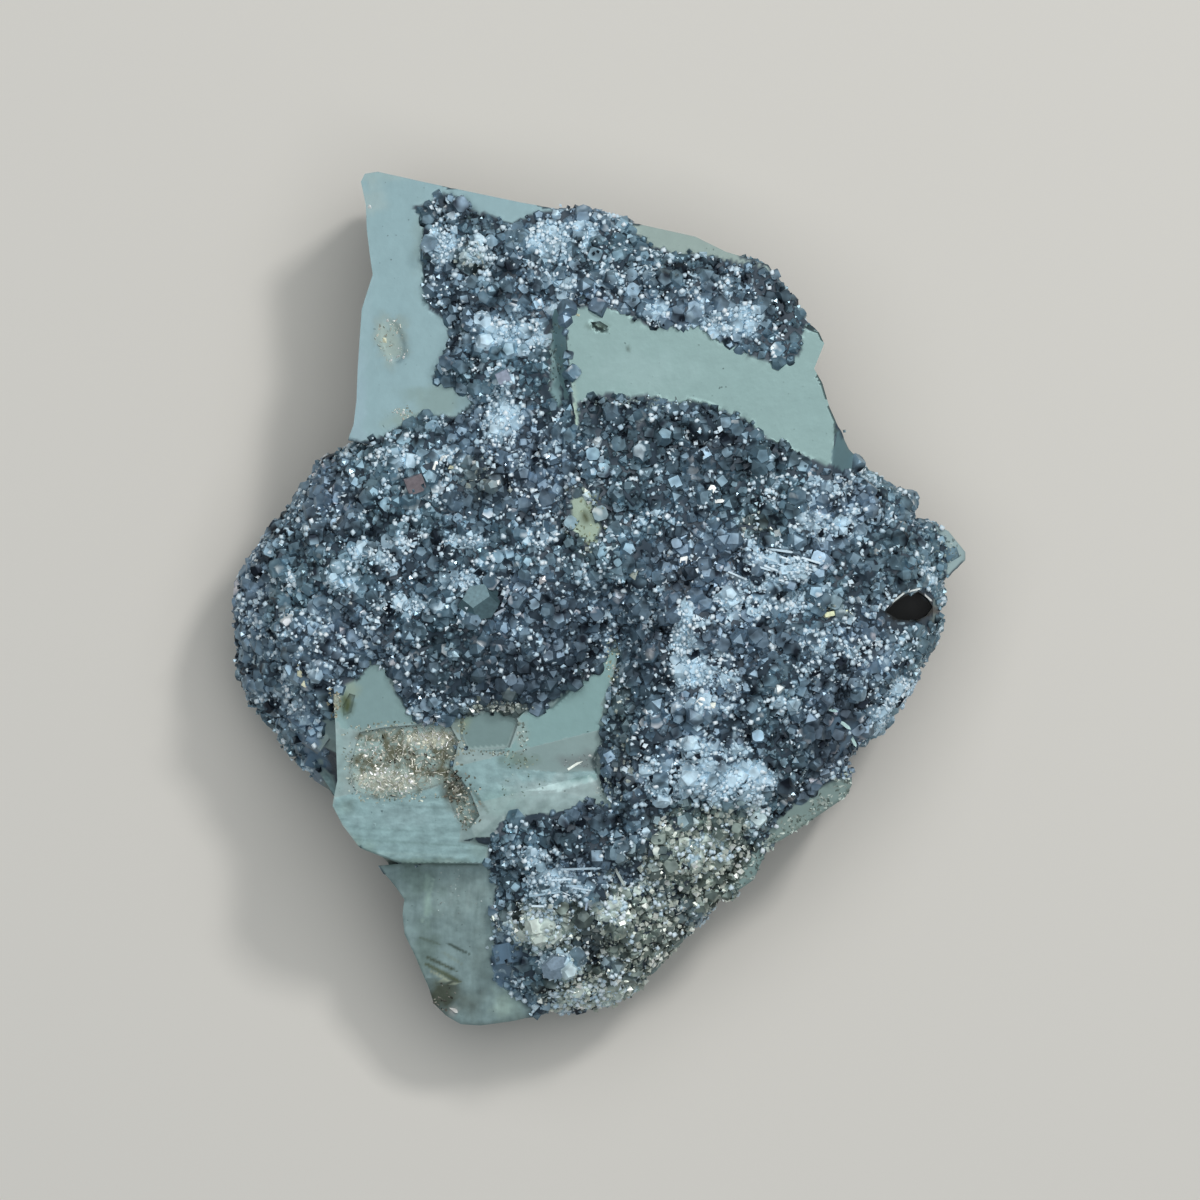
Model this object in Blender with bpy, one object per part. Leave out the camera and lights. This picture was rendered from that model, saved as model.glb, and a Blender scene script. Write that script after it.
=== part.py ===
"""Pyrite specimen: large flat-faced crystals grown together in one mass, under a crust of small crystals.

The specimen lies on its back. +Z points out of its show face and +Y towards its top end. The origin is on the
surface it lies on, below the middle of its outline. Plan outlines are points of a picture of the show face,
which plan() turns into metres, and heights are millimetres above the surface that the specimen lies on.
"""

import math
import random

import bmesh
import bpy
import numpy as np
from mathutils import Euler, Vector, noise
from mathutils.bvhtree import BVHTree
from mathutils.geometry import delaunay_2d_cdt

# Driving sizes, in metres
LENGTH = 0.120
CRUST_GRID = 0.0031
UNDERSIDE_GRID = 0.0085
CRUST_RISE = 1.15
CRUST_BURIES = 0.0012
LUMP_HEIGHT = 0.0011
FACET_HEIGHT = 0.0005
SMALL_CRYSTAL_SPACING = 0.0057
SMALL_CRYSTAL_SIZES = (0.0022, 0.0040)
SIDE_CRYSTALS = 40
SEED = 7

# The picture of the show face: the rows of its top end and foot, and its middle
TOP_ROW, FOOT_ROW = 172.0, 1028.0
MIDDLE_PX = Vector((600.5, 600.0))
METRES_PER_PIXEL = LENGTH / (FOOT_ROW - TOP_ROW)
MM = 0.001

# Outline of the whole specimen, clockwise from its upper left corner
SPECIMEN_OUTLINE = [
    (361, 182), (365, 174), (378, 172), (400, 176), (440, 186), (480, 195), (520, 203), (552, 208), (585, 214),
    (620, 221), (660, 230), (695, 238), (725, 253), (745, 257), (768, 266), (776, 277), (786, 297), (800, 317),
    (818, 334), (823, 345), (813, 370), (821, 384), (828, 408), (838, 430), (848, 450), (862, 460), (885, 484),
    (895, 492), (913, 497), (921, 520), (935, 524), (949, 531), (966, 552), (966, 560), (950, 576), (943, 600),
    (942, 620), (934, 645), (922, 662), (913, 683), (890, 717), (880, 730), (857, 748), (852, 765), (852, 785),
    (846, 797), (830, 808), (805, 825), (785, 838), (768, 848), (760, 866), (754, 880), (728, 898), (700, 922),
    (680, 940), (648, 975), (634, 992), (620, 1002), (595, 1008), (565, 1014), (540, 1017), (510, 1024),
    (480, 1028), (460, 1027), (445, 1018), (433, 1006), (428, 990), (412, 952), (404, 935), (402, 915),
    (404, 900), (395, 887), (378, 868), (358, 848), (343, 825), (332, 805), (312, 782), (300, 765), (282, 745),
    (278, 733), (262, 716), (253, 708), (243, 690), (234, 662), (238, 650), (235, 625), (235, 600), (237, 582),
    (255, 552), (268, 533), (288, 510), (300, 492), (315, 474), (318, 465), (335, 455), (348, 440), (354, 425),
    (357, 400), (358, 370), (362, 310), (373, 275), (370, 255), (367, 230), (366, 205),
]

# Large crystals. Each has the outline of its block, the windows where its top face shows through the crust, a
# height in millimetres at one point, how many millimetres it rises per 100 pixels to the right and downwards,
# and the height of its foot.
UPPER_CRYSTAL = {
    "block": [
        (361, 182), (365, 174), (378, 172), (440, 186), (520, 203), (620, 221), (695, 238), (725, 253),
        (768, 266), (786, 297), (800, 317), (818, 334), (823, 345), (813, 370), (800, 420), (700, 450),
        (480, 460), (348, 441), (354, 425), (357, 400), (358, 370), (362, 310), (373, 275), (370, 255),
        (367, 230), (366, 205),
    ],
    "windows": [
        [
            (350, 160), (378, 160), (500, 186), (600, 205), (556, 212), (530, 216), (510, 225), (490, 214),
            (478, 212), (462, 200), (447, 194), (430, 203), (413, 206), (427, 225), (422, 250), (427, 282),
            (430, 312), (449, 322), (450, 345), (432, 380), (455, 384), (470, 398), (474, 414), (440, 418),
            (420, 414), (405, 428), (380, 438), (340, 445), (345, 400), (350, 300),
        ],
        [
            (625, 212), (700, 228), (780, 255), (782, 277), (760, 268), (725, 262), (700, 254), (672, 256),
            (640, 240),
        ],
    ],
    "at": (400, 300), "height": 31.0, "right": 1.5, "down": 1.0, "foot": 9.0,
}
BAND_CRYSTAL = {
    "block": [
        (546, 311), (566, 309), (600, 307), (665, 318), (740, 322), (802, 328), (818, 334), (823, 345),
        (813, 370), (821, 384), (828, 408), (838, 430), (848, 450), (860, 462), (845, 482), (760, 500),
        (640, 500), (590, 470), (556, 448),
    ],
    "windows": [
        [
            (566, 309), (600, 307), (625, 315), (645, 326), (665, 330), (700, 325), (715, 340), (740, 348),
            (755, 360), (790, 366), (800, 350), (802, 325), (840, 325), (840, 400), (875, 460), (845, 472),
            (830, 467), (810, 460), (778, 446), (765, 438), (750, 424), (735, 415), (700, 408), (665, 403),
            (655, 398), (600, 397), (578, 404), (580, 440), (574, 445),
        ],
    ],
    "at": (570, 350), "height": 41.0, "right": -1.2, "down": 1.2, "foot": 12.0,
}
LOWER_CRYSTAL = {
    "block": [
        (334, 694), (362, 652), (450, 640), (560, 632), (621, 634), (618, 655), (610, 690), (600, 745),
        (612, 806), (585, 804), (520, 817), (494, 838), (488, 864), (400, 864), (360, 848), (343, 825),
        (333, 805), (338, 780), (336, 725),
    ],
    "windows": [
        [
            (332, 695), (345, 685), (360, 678), (370, 660), (378, 662), (388, 670), (398, 690), (408, 710),
            (420, 722), (452, 722), (465, 712), (490, 707), (545, 708), (575, 685), (600, 665), (618, 640),
            (618, 655), (610, 690), (604, 720), (598, 752), (612, 805), (585, 800), (565, 810), (520, 815),
            (500, 822), (490, 840), (486, 866), (400, 866), (350, 856), (325, 812), (340, 790), (335, 725),
        ],
    ],
    "at": (480, 720), "height": 33.0, "right": 0.3, "down": 0.6, "foot": 8.0,
}
FOOT_CRYSTAL = {
    "block": [
        (404, 900), (395, 887), (378, 866), (440, 860), (499, 862), (500, 940), (502, 985), (560, 1000),
        (540, 1017), (510, 1024), (480, 1028), (460, 1027), (445, 1018), (433, 1006), (428, 990), (412, 952),
        (404, 935), (402, 915),
    ],
    "windows": [
        [
            (370, 862), (440, 862), (496, 864), (496, 880), (492, 920), (497, 940), (490, 960), (495, 985),
            (522, 1000), (545, 1025), (460, 1040), (430, 1020), (395, 940),
        ],
    ],
    "at": (450, 870), "height": 26.5, "right": 1.0, "down": -6.5, "foot": 6.0,
}
EDGE_CRYSTAL = {
    "block": [
        (700, 870), (716, 830), (760, 790), (800, 772), (852, 768), (852, 785), (846, 797), (830, 808),
        (805, 825), (785, 838), (768, 848), (760, 866), (754, 880), (728, 898),
    ],
    "windows": [
        [(858, 768), (870, 800), (790, 850), (768, 846), (770, 830), (785, 812), (815, 790), (840, 780)],
        [(775, 850), (765, 890), (715, 905), (735, 880), (745, 865), (757, 850)],
    ],
    "at": (770, 840), "height": 26.5, "right": -3.0, "down": -4.0, "foot": 7.0,
}
TIP_CRYSTAL = {
    "block": [
        (922, 528), (935, 524), (949, 531), (966, 552), (966, 560), (950, 576), (925, 572), (905, 545),
    ],
    "windows": [[(932, 518), (960, 520), (980, 560), (950, 578), (946, 562), (954, 554), (944, 543)]],
    "at": (945, 550), "height": 25.5, "right": -4.0, "down": -2.0, "foot": 14.0,
}
RIDGE_CRYSTAL = {
    "block": [(576, 470), (588, 486), (603, 528), (600, 550), (584, 552), (568, 530), (566, 500)],
    "windows": [[(582, 488), (592, 508), (600, 528), (597, 545), (584, 541), (572, 530), (570, 505)]],
    "at": (585, 520), "height": 44.2, "right": -1.0, "down": 1.0, "foot": 30.0,
}
LARGE_CRYSTALS = {
    "upper": UPPER_CRYSTAL, "band": BAND_CRYSTAL, "lower": LOWER_CRYSTAL, "foot": FOOT_CRYSTAL,
    "edge": EDGE_CRYSTAL, "tip": TIP_CRYSTAL, "ridge": RIDGE_CRYSTAL,
}

# Slanting faces cut on the large crystals: a point of the picture, its height in millimetres, and the facing
BEVELS = {
    "lower": [((430, 780), 33.0, (0.03, -0.16, 1.0))],
    "band": [((567, 350), 41.0, (-1.0, -0.07, 0.42)), ((834, 430), 38.7, (0.75, 0.05, 1.0))],
}

# Hollows cut into the faces: an outline and the millimetres that its floor lies below the face at its start
# and end, counted along the hollow from left to right
HOLLOWS = [
    ("lower", [(462, 714), (490, 709), (515, 713), (519, 722), (510, 747), (466, 750), (460, 735)], 0.3, 1.3),
    (
        "lower",
        [
            (360, 732), (385, 727), (420, 724), (450, 724), (459, 740), (453, 768), (470, 790), (480, 815),
            (470, 828), (458, 820), (448, 796), (442, 784), (400, 796), (375, 798), (355, 790), (350, 765),
        ],
        0.8, 1.6,
    ),
    ("band", [(591, 324), (600, 323), (608, 328), (606, 332), (597, 331)], 0.9, 0.9),
    ("upper", [(386, 318), (396, 322), (404, 340), (406, 356), (396, 366), (386, 352), (381, 334)], 0.7, 1.3),
    ("lower", [(350, 693), (356, 695), (352, 712), (344, 716), (343, 706)], 1.2, 1.2),
]
CAVITY = [(885, 612), (893, 603), (905, 596), (918, 592), (927, 598), (933, 607), (926, 616), (915, 621), (897, 619)]
CAVITY_FLOOR = 21.0

# Heights of the crust, in millimetres, at points of the picture
CRUST_HEIGHTS = [
    (415, 215, 32.8), (450, 230, 33.8), (450, 300, 34.8), (520, 260, 36.3), (600, 250, 36.8), (560, 330, 37.2),
    (500, 330, 36.8), (500, 390, 37.0), (540, 400, 38.0), (680, 275, 38.5), (760, 290, 38.3), (790, 340, 38.4),
    (700, 320, 40.0), (760, 345, 39.3), (620, 290, 38.4), (360, 465, 31.5), (300, 520, 28.5), (255, 590, 23.0),
    (245, 660, 20.0), (270, 715, 18.5), (310, 780, 18.0), (325, 730, 27.0), (300, 640, 32.0), (330, 560, 35.5),
    (420, 440, 36.0), (400, 500, 38.0), (480, 450, 39.0), (450, 560, 41.0), (400, 600, 39.5), (520, 520, 42.0),
    (560, 590, 43.5), (560, 650, 42.5), (500, 685, 40.5), (430, 695, 38.5), (370, 645, 36.5), (330, 680, 33.5),
    (590, 450, 43.2), (590, 500, 44.4), (612, 560, 45.8), (645, 620, 45.2), (640, 440, 43.0), (700, 440, 41.8),
    (760, 470, 41.0), (700, 520, 44.6), (780, 560, 43.2), (860, 500, 37.5), (900, 530, 32.5), (935, 555, 28.0),
    (860, 580, 39.5), (905, 600, 33.5), (930, 635, 27.5), (700, 620, 44.6), (700, 690, 43.2), (760, 680, 42.8),
    (820, 640, 40.0), (885, 680, 31.5), (845, 735, 32.5), (800, 750, 36.0), (700, 770, 40.0), (650, 740, 41.5),
    (622, 700, 35.0), (614, 760, 34.5), (640, 800, 37.5), (760, 800, 34.5), (830, 775, 29.5), (520, 832, 33.8),
    (565, 826, 35.0), (605, 840, 36.0), (505, 900, 29.0), (550, 890, 32.5), (610, 910, 32.5), (515, 965, 25.0),
    (560, 970, 25.5), (610, 975, 23.5), (560, 1003, 19.5), (620, 995, 18.0), (665, 930, 26.5), (700, 880, 28.5),
    (740, 850, 29.5), (700, 830, 33.5), (650, 850, 35.0),
]
EDGE_DROP = 4.5
EDGE_WIDTH = 0.007

# The rim, from the show face to the underside: how far each ring lies inside the outline and its height as a
# share of the crust's, both in the crust and where a large crystal makes the outline
RIM_RINGS = [(0.0012, 0.95), (0.0, 0.66), (0.0028, 0.34), (0.0085, 0.12)]
CRYSTAL_SETBACK = 0.0013
UNDERSIDE_HEIGHT = 3.6
BLOCK_INSET = 0.0006

# Crystals of the sides and the underside: middle in the picture, height of the lowest corner in millimetres,
# sizes in millimetres, and turn in degrees. The base block carries the specimen on its flat face.
BASE_BLOCK = ((592, 600), 0.0, (54.0, 48.0, 16.0), (0, 0, 14))
BACK_BLOCKS = [
    ((430, 350), 1.6, (22, 32, 19), (6, -8, 6)),
    ((560, 300), 0.7, (28, 26, 20), (-5, 4, -14)),
    ((700, 345), 1.8, (26, 26, 22), (8, 7, 20)),
    ((322, 590), 1.4, (22, 30, 16), (-7, 10, 10)),
    ((360, 700), 0.9, (22, 24, 19), (9, -6, 32)),
    ((815, 500), 1.1, (24, 24, 20), (5, 10, -18)),
    ((860, 610), 2.0, (22, 24, 16), (-8, -9, 28)),
    ((775, 740), 0.8, (26, 24, 18), (7, -5, 40)),
    ((640, 860), 1.5, (28, 26, 18), (-6, 5, 24)),
    ((510, 900), 0.9, (26, 26, 14), (4, 6, -8)),
    ((430, 800), 1.7, (22, 24, 16), (-7, -4, 18)),
]


def plan(point):
    """The place in metres of a point of the picture."""
    return Vector(((point[0] - MIDDLE_PX.x) * METRES_PER_PIXEL, (MIDDLE_PX.y - point[1]) * METRES_PER_PIXEL))


def plans(points):
    return np.array([plan(point) for point in points])


def face_height(crystal, place):
    """Height in metres of a large crystal's top face at places in metres, an array of x and y."""
    anchor = np.array(plan(crystal["at"]))
    pixels = (np.asarray(place) - anchor) / METRES_PER_PIXEL
    return (crystal["height"] + (crystal["right"] * pixels[..., 0] - crystal["down"] * pixels[..., 1]) / 100) * MM


def distance_outside(places, outline):
    """Signed distance in metres from places to an outline, positive outside it."""
    start = outline
    step = np.roll(outline, -1, axis=0) - start
    offset = places[:, None, :] - start
    share = np.clip((offset * step).sum(-1) / (step * step).sum(-1), 0, 1)
    nearest = np.linalg.norm(offset - share[..., None] * step, axis=-1).min(1)
    above = (start[:, 1] > places[:, None, 1]) != ((start + step)[:, 1] > places[:, None, 1])
    height = np.where(step[:, 1] == 0, 1e-12, step[:, 1])
    crossing = start[:, 0] + step[:, 0] * (places[:, None, 1] - start[:, 1]) / height
    inside = (above & (places[:, None, 0] < crossing)).sum(1) % 2 == 1
    return np.where(inside, -nearest, nearest)


def crust_height(places):
    """Height in metres of the crust's surface, without its lumps, at places in metres."""
    knots = np.array([[*plan(knot[:2]), knot[2] * MM] for knot in CRUST_HEIGHTS])
    gap = np.linalg.norm(places[:, None, :] - knots[:, :2], axis=-1)
    weight = 1 / (gap**2 + (3 * MM) ** 2) ** 1.6
    height = (weight * knots[:, 2]).sum(1) / weight.sum(1)
    inset = -distance_outside(places, plans(SPECIMEN_OUTLINE))
    height -= EDGE_DROP * MM * np.clip(1 - inset / EDGE_WIDTH, 0, 1) ** 2
    for crystal in LARGE_CRYSTALS.values():
        face = face_height(crystal, places)
        for window in crystal["windows"]:
            outside = distance_outside(places, plans(window))
            rise = np.where(outside > 0, CRUST_RISE * outside, -CRUST_BURIES)
            height = np.minimum(height, face + rise)
    return height


def lumps(places):
    """Height in metres of the crust's lumps: broad swells and cobbles."""
    swell = [noise.noise(Vector((x * 95, y * 95, 3.1))) for x, y in places]
    cobble = [noise.voronoi(Vector((x * 190, y * 190, 0.7)))[0][0] for x, y in places]
    return LUMP_HEIGHT * (np.array(swell) + 0.9 - 2.0 * np.array(cobble))


def window_distance(places):
    """Distance in metres to the nearest window in the crust, negative inside it."""
    nearest = np.full(len(places), 1.0)
    for crystal in LARGE_CRYSTALS.values():
        for window in crystal["windows"]:
            nearest = np.minimum(nearest, distance_outside(places, plans(window)))
    return nearest


def inset_outline(insets):
    """The specimen's outline moved towards its middle by these lengths."""
    outline = plans(SPECIMEN_OUTLINE)
    reach = np.linalg.norm(outline, axis=1)
    return outline * (1 - insets / reach)[:, None]


def grid_inside(outline, spacing, margin, chance):
    """Points of a jittered triangular grid that lie inside an outline by at least a margin."""
    low, high = outline.min(0), outline.max(0)
    points = []
    for row in range(math.ceil((high[1] - low[1]) / (spacing * 0.87))):
        for column in range(math.ceil((high[0] - low[0]) / spacing)):
            shift = 0.5 * (row % 2)
            x = low[0] + (column + shift + chance.uniform(-0.24, 0.24)) * spacing
            y = low[1] + (row + chance.uniform(-0.24, 0.24)) * spacing * 0.87
            points.append((x, y))
    points = np.array(points)
    return points[distance_outside(points, outline) < -margin]


def sheet(ring, inner):
    """Triangles over a ring and the points inside it, as indices with the ring's points first."""
    points = [Vector(point) for point in [*ring, *inner]]
    border = list(range(len(ring)))
    made = delaunay_2d_cdt(points, [], [border], 1, 1e-7)
    source = [origins[0] for origins in made[3]]
    return [tuple(source[corner] for corner in face) for face in made[2]]


def rock_object(chance):
    """The mass under and around the large crystals: a lumpy show face, a rim and a rough underside."""
    outline = plans(SPECIMEN_OUTLINE)
    setback = np.zeros(len(outline))
    for crystal in LARGE_CRYSTALS.values():
        beside = np.abs(distance_outside(outline, plans(crystal["block"]))) < 0.0015
        setback[beside] = CRYSTAL_SETBACK
    edge_height = crust_height(inset_outline(setback + 0.0015))
    rings = []
    for level, (inset, share) in enumerate(RIM_RINGS):
        wander = np.array([noise.noise(Vector((x * 110, y * 110, level * 5.3))) for x, y in outline])
        ring = inset_outline(setback + inset * (1 + 0.7 * wander))
        height = edge_height * share * (1 + 0.22 * wander * (level > 0))
        rings.append(np.column_stack([ring, height]))
    front_ring = rings[0][:, :2]
    front_inner = grid_inside(front_ring, CRUST_GRID, CRUST_GRID * 0.45, chance)
    buried = window_distance(front_inner) < -CRUST_GRID
    front_inner = front_inner[~buried]
    crusted = np.clip(window_distance(front_inner) / 0.002, 0, 1)
    facets = np.array([chance.uniform(-1, 1) for _ in front_inner]) * FACET_HEIGHT
    front_height = crust_height(front_inner) + crusted * (lumps(front_inner) + facets)
    back_ring = rings[-1][:, :2]
    back_inner = grid_inside(back_ring, UNDERSIDE_GRID, UNDERSIDE_GRID * 0.4, chance)
    back_height = np.array([UNDERSIDE_HEIGHT + chance.uniform(-1.5, 1.5) for _ in back_inner]) * MM

    mesh = bmesh.new()
    ring_verts = [[mesh.verts.new(point) for point in ring] for ring in rings]
    front_verts = ring_verts[0] + [mesh.verts.new((*xy, z)) for xy, z in zip(front_inner, front_height)]
    back_verts = ring_verts[-1] + [mesh.verts.new((*xy, z)) for xy, z in zip(back_inner, back_height)]
    for face in sheet(front_ring, front_inner):
        mesh.faces.new([front_verts[corner] for corner in face])
    for face in sheet(back_ring, back_inner):
        mesh.faces.new([back_verts[corner] for corner in reversed(face)])
    count = len(outline)
    for upper, lower in zip(ring_verts, ring_verts[1:]):
        for i in range(count):
            after = (i + 1) % count
            mesh.faces.new((upper[i], upper[after], lower[after]))
            mesh.faces.new((upper[i], lower[after], lower[i]))
    return finished("rock", mesh)


def finished(name, mesh):
    """An object of this mesh, with its faces pointing out."""
    bmesh.ops.triangulate(mesh, faces=mesh.faces)
    bmesh.ops.recalc_face_normals(mesh, faces=mesh.faces)
    data = bpy.data.meshes.new(name)
    mesh.to_mesh(data)
    mesh.free()
    made = bpy.data.objects.new(name, data)
    bpy.context.scene.collection.objects.link(made)
    return made


def large_crystal(name, crystal):
    """A block with upright sides, the crystal's slanting top face and its bevels."""
    outline = plans(crystal["block"])
    middle = outline.mean(0)
    foot = middle + (outline - middle) * 0.93
    mesh = bmesh.new()
    top = [mesh.verts.new((*place, height)) for place, height in zip(outline, face_height(crystal, outline))]
    base = [mesh.verts.new((*place, crystal["foot"] * MM)) for place in foot]
    mesh.faces.new(top)
    mesh.faces.new(list(reversed(base)))
    for i in range(len(outline)):
        after = (i + 1) % len(outline)
        mesh.faces.new((top[i], base[i], base[after], top[after]))
    bmesh.ops.recalc_face_normals(mesh, faces=mesh.faces)
    for at, height, facing in BEVELS.get(name, []):
        through = (*plan(at), height * MM)
        geometry = mesh.verts[:] + mesh.edges[:] + mesh.faces[:]
        cut = bmesh.ops.bisect_plane(mesh, geom=geometry, plane_co=through, plane_no=facing, clear_outer=True)
        rim = [edge for edge in cut["geom_cut"] if isinstance(edge, bmesh.types.BMEdge)]
        bmesh.ops.edgeloop_fill(mesh, edges=rim)
    return finished(name + "_crystal", mesh)


def block_object(name, at, lowest, sizes, turn):
    """A box-shaped crystal of the sides or the underside, as large as fits within the outline from above."""
    mesh = bmesh.new()
    bmesh.ops.create_cube(mesh, size=1)
    bmesh.ops.scale(mesh, verts=mesh.verts, vec=[size * MM for size in sizes])
    bmesh.ops.rotate(mesh, verts=mesh.verts, matrix=Euler([math.radians(angle) for angle in turn]).to_matrix())
    middle = np.array(plan(at))
    corners = np.array([vert.co.xy for vert in mesh.verts])
    share = 1.0
    while distance_outside(middle + share * corners, plans(SPECIMEN_OUTLINE)).max() > -BLOCK_INSET:
        share *= 0.97
    bmesh.ops.scale(mesh, verts=mesh.verts, vec=(share, share, share))
    sunk = min(vert.co.z for vert in mesh.verts)
    bmesh.ops.translate(mesh, verts=mesh.verts, vec=(*middle, lowest * MM - sunk))
    return finished(name, mesh)


def hollow_cutter(owner, outline, shallow, deep):
    """A prism whose floor follows the owner's face, a little below it."""
    crystal = LARGE_CRYSTALS[owner]
    places = plans(outline)
    along = (places[:, 0] - places[:, 0].min()) / np.ptp(places[:, 0])
    face = face_height(crystal, places)
    for at, height, facing in BEVELS.get(owner, []):
        offset = places - np.array(plan(at))
        bevel = height * MM - (offset * np.array(facing[:2])).sum(1) / facing[2]
        face = np.minimum(face, bevel)
    depth = (shallow + (deep - shallow) * along) * MM
    return prism("hollow", places, face - depth, 0.060)


def prism(name, places, floor, roof):
    mesh = bmesh.new()
    low = [mesh.verts.new((*place, height)) for place, height in zip(places, floor)]
    high = [mesh.verts.new((*place, roof)) for place in places]
    bmesh.ops.triangle_fill(mesh, edges=[mesh.edges.new(pair) for pair in zip(low, low[1:] + low[:1])])
    mesh.faces.new(high)
    for i in range(len(places)):
        after = (i + 1) % len(places)
        mesh.faces.new((low[i], low[after], high[after], high[i]))
    return finished(name, mesh)


def combine(body, others, operation):
    """Joins other objects to the body, or cuts them from it, and removes them."""
    tools = bpy.data.collections.new(operation)
    for other in others:
        tools.objects.link(other)
    change = body.modifiers.new(operation, "BOOLEAN")
    change.operation = operation
    change.operand_type = "COLLECTION"
    change.collection = tools
    graph = bpy.context.evaluated_depsgraph_get()
    mesh = bpy.data.meshes.new_from_object(body.evaluated_get(graph))
    body.modifiers.clear()
    body.data = mesh
    for other in others:
        bpy.data.objects.remove(other)


def small_crystal(at, up, size, chance):
    """A small cube or eight-faced crystal, turned at random, half sunk in the surface and inside the outline."""
    mesh = bmesh.new()
    if chance.random() < 0.6:
        bmesh.ops.create_cube(mesh, size=size * 0.82)
    else:
        bmesh.ops.create_cone(
            mesh, segments=4, radius1=size * 0.62, radius2=0, depth=size * 0.62, cap_ends=False,
        )
        bmesh.ops.translate(mesh, verts=mesh.verts, vec=(0, 0, size * 0.31))
        lower = bmesh.ops.duplicate(mesh, geom=mesh.verts[:] + mesh.edges[:] + mesh.faces[:])["geom"]
        lower = [part for part in lower if isinstance(part, bmesh.types.BMVert)]
        bmesh.ops.scale(mesh, verts=lower, vec=(1, 1, -1))
        bmesh.ops.remove_doubles(mesh, verts=mesh.verts, dist=1e-6)
    turn = Euler([chance.uniform(-math.pi, math.pi) for _ in range(3)]).to_matrix()
    bmesh.ops.rotate(mesh, verts=mesh.verts, matrix=turn)
    bmesh.ops.translate(mesh, verts=mesh.verts, vec=at + up * size * 0.12)
    corners = np.array([vert.co.xy for vert in mesh.verts])
    overshoot = distance_outside(corners, plans(SPECIMEN_OUTLINE)).max()
    inward = -Vector((at.x, at.y, 0)).normalized()
    bmesh.ops.translate(mesh, verts=mesh.verts, vec=inward * max(overshoot, 0))
    return finished("small_crystal", mesh)


def small_crystals(body, chance):
    """Small crystals standing in the crust of the show face and of the sides."""
    surface = BVHTree.FromObject(body, bpy.context.evaluated_depsgraph_get())
    spots = grid_inside(plans(SPECIMEN_OUTLINE), SMALL_CRYSTAL_SPACING, 0.0035, chance)
    spots = spots[window_distance(spots) > 0.0018]
    spots = spots[np.linalg.norm(spots - plans(CAVITY).mean(0), axis=1) > 0.0055]
    rays = [(Vector((x, y, 0.1)), Vector((0, 0, -1))) for x, y in spots]
    for i in range(SIDE_CRYSTALS):
        angle = 2 * math.pi * (i + chance.uniform(-0.3, 0.3)) / SIDE_CRYSTALS
        inward = Vector((-math.cos(angle), -math.sin(angle), 0))
        rays.append((-0.2 * inward + Vector((0, 0, chance.uniform(0.007, 0.020))), inward))
    made = []
    for start, direction in rays:
        place, facing, _, _ = surface.ray_cast(start, direction)
        size = chance.uniform(*SMALL_CRYSTAL_SIZES)
        if place is None or (direction.z == 0 and block_distance(place) < size):
            continue
        sunk = 0.0 if direction.z else size * 0.2
        made.append(small_crystal(place - facing * sunk, facing, size, chance))
    return made


def block_distance(place):
    """Distance in metres, seen from above, from a place to the nearest large crystal."""
    spot = np.array([place.xy])
    return min(distance_outside(spot, plans(crystal["block"]))[0] for crystal in LARGE_CRYSTALS.values())


def dull_pyrite():
    """The steel-green metal of the crystals' faces."""
    material = bpy.data.materials.new("dull_pyrite")
    material.use_nodes = True
    shader = material.node_tree.nodes["Principled BSDF"]
    shader.inputs["Base Color"].default_value = (0.25, 0.37, 0.38, 1)
    shader.inputs["Metallic"].default_value = 0.8
    shader.inputs["Roughness"].default_value = 0.4
    return material


def main():
    for old in list(bpy.data.objects):
        bpy.data.objects.remove(old)
    chance = random.Random(SEED)
    specimen = rock_object(chance)
    blocks = [large_crystal(name, crystal) for name, crystal in LARGE_CRYSTALS.items()]
    blocks.append(block_object("base_block", *BASE_BLOCK))
    blocks += [block_object("back_block", *block) for block in BACK_BLOCKS]
    combine(specimen, blocks, "UNION")
    combine(specimen, small_crystals(specimen, chance), "UNION")
    cavity = plans(CAVITY)
    cutters = [prism("cavity", cavity, np.full(len(cavity), CAVITY_FLOOR * MM), 0.060)]
    cutters += [hollow_cutter(*hollow) for hollow in HOLLOWS]
    combine(specimen, cutters, "DIFFERENCE")
    specimen.name = "pyrite_specimen"
    specimen.data.materials.clear()
    specimen.data.materials.append(dull_pyrite())


main()
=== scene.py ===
# %% [markdown]
# # A pyrite specimen, from its solid to its finish
# Pyrite is iron sulphide. This piece is a cluster: a few large crystals with flat, steel-green faces have
# grown together, and a crust of small dark crystals with paler grains has grown over most of them. The solid
# model already has the true outline, the large faces and the biggest of the small crystals. This script gives
# it the fine surface: thousands of crystals a millimetre or two across, broken grains, streaks and metal.

# %% Load the solid and keep its box
import math
import random

import bmesh
import bpy
import numpy as np
from mathutils import Euler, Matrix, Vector, noise
from mathutils.bvhtree import BVHTree


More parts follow.
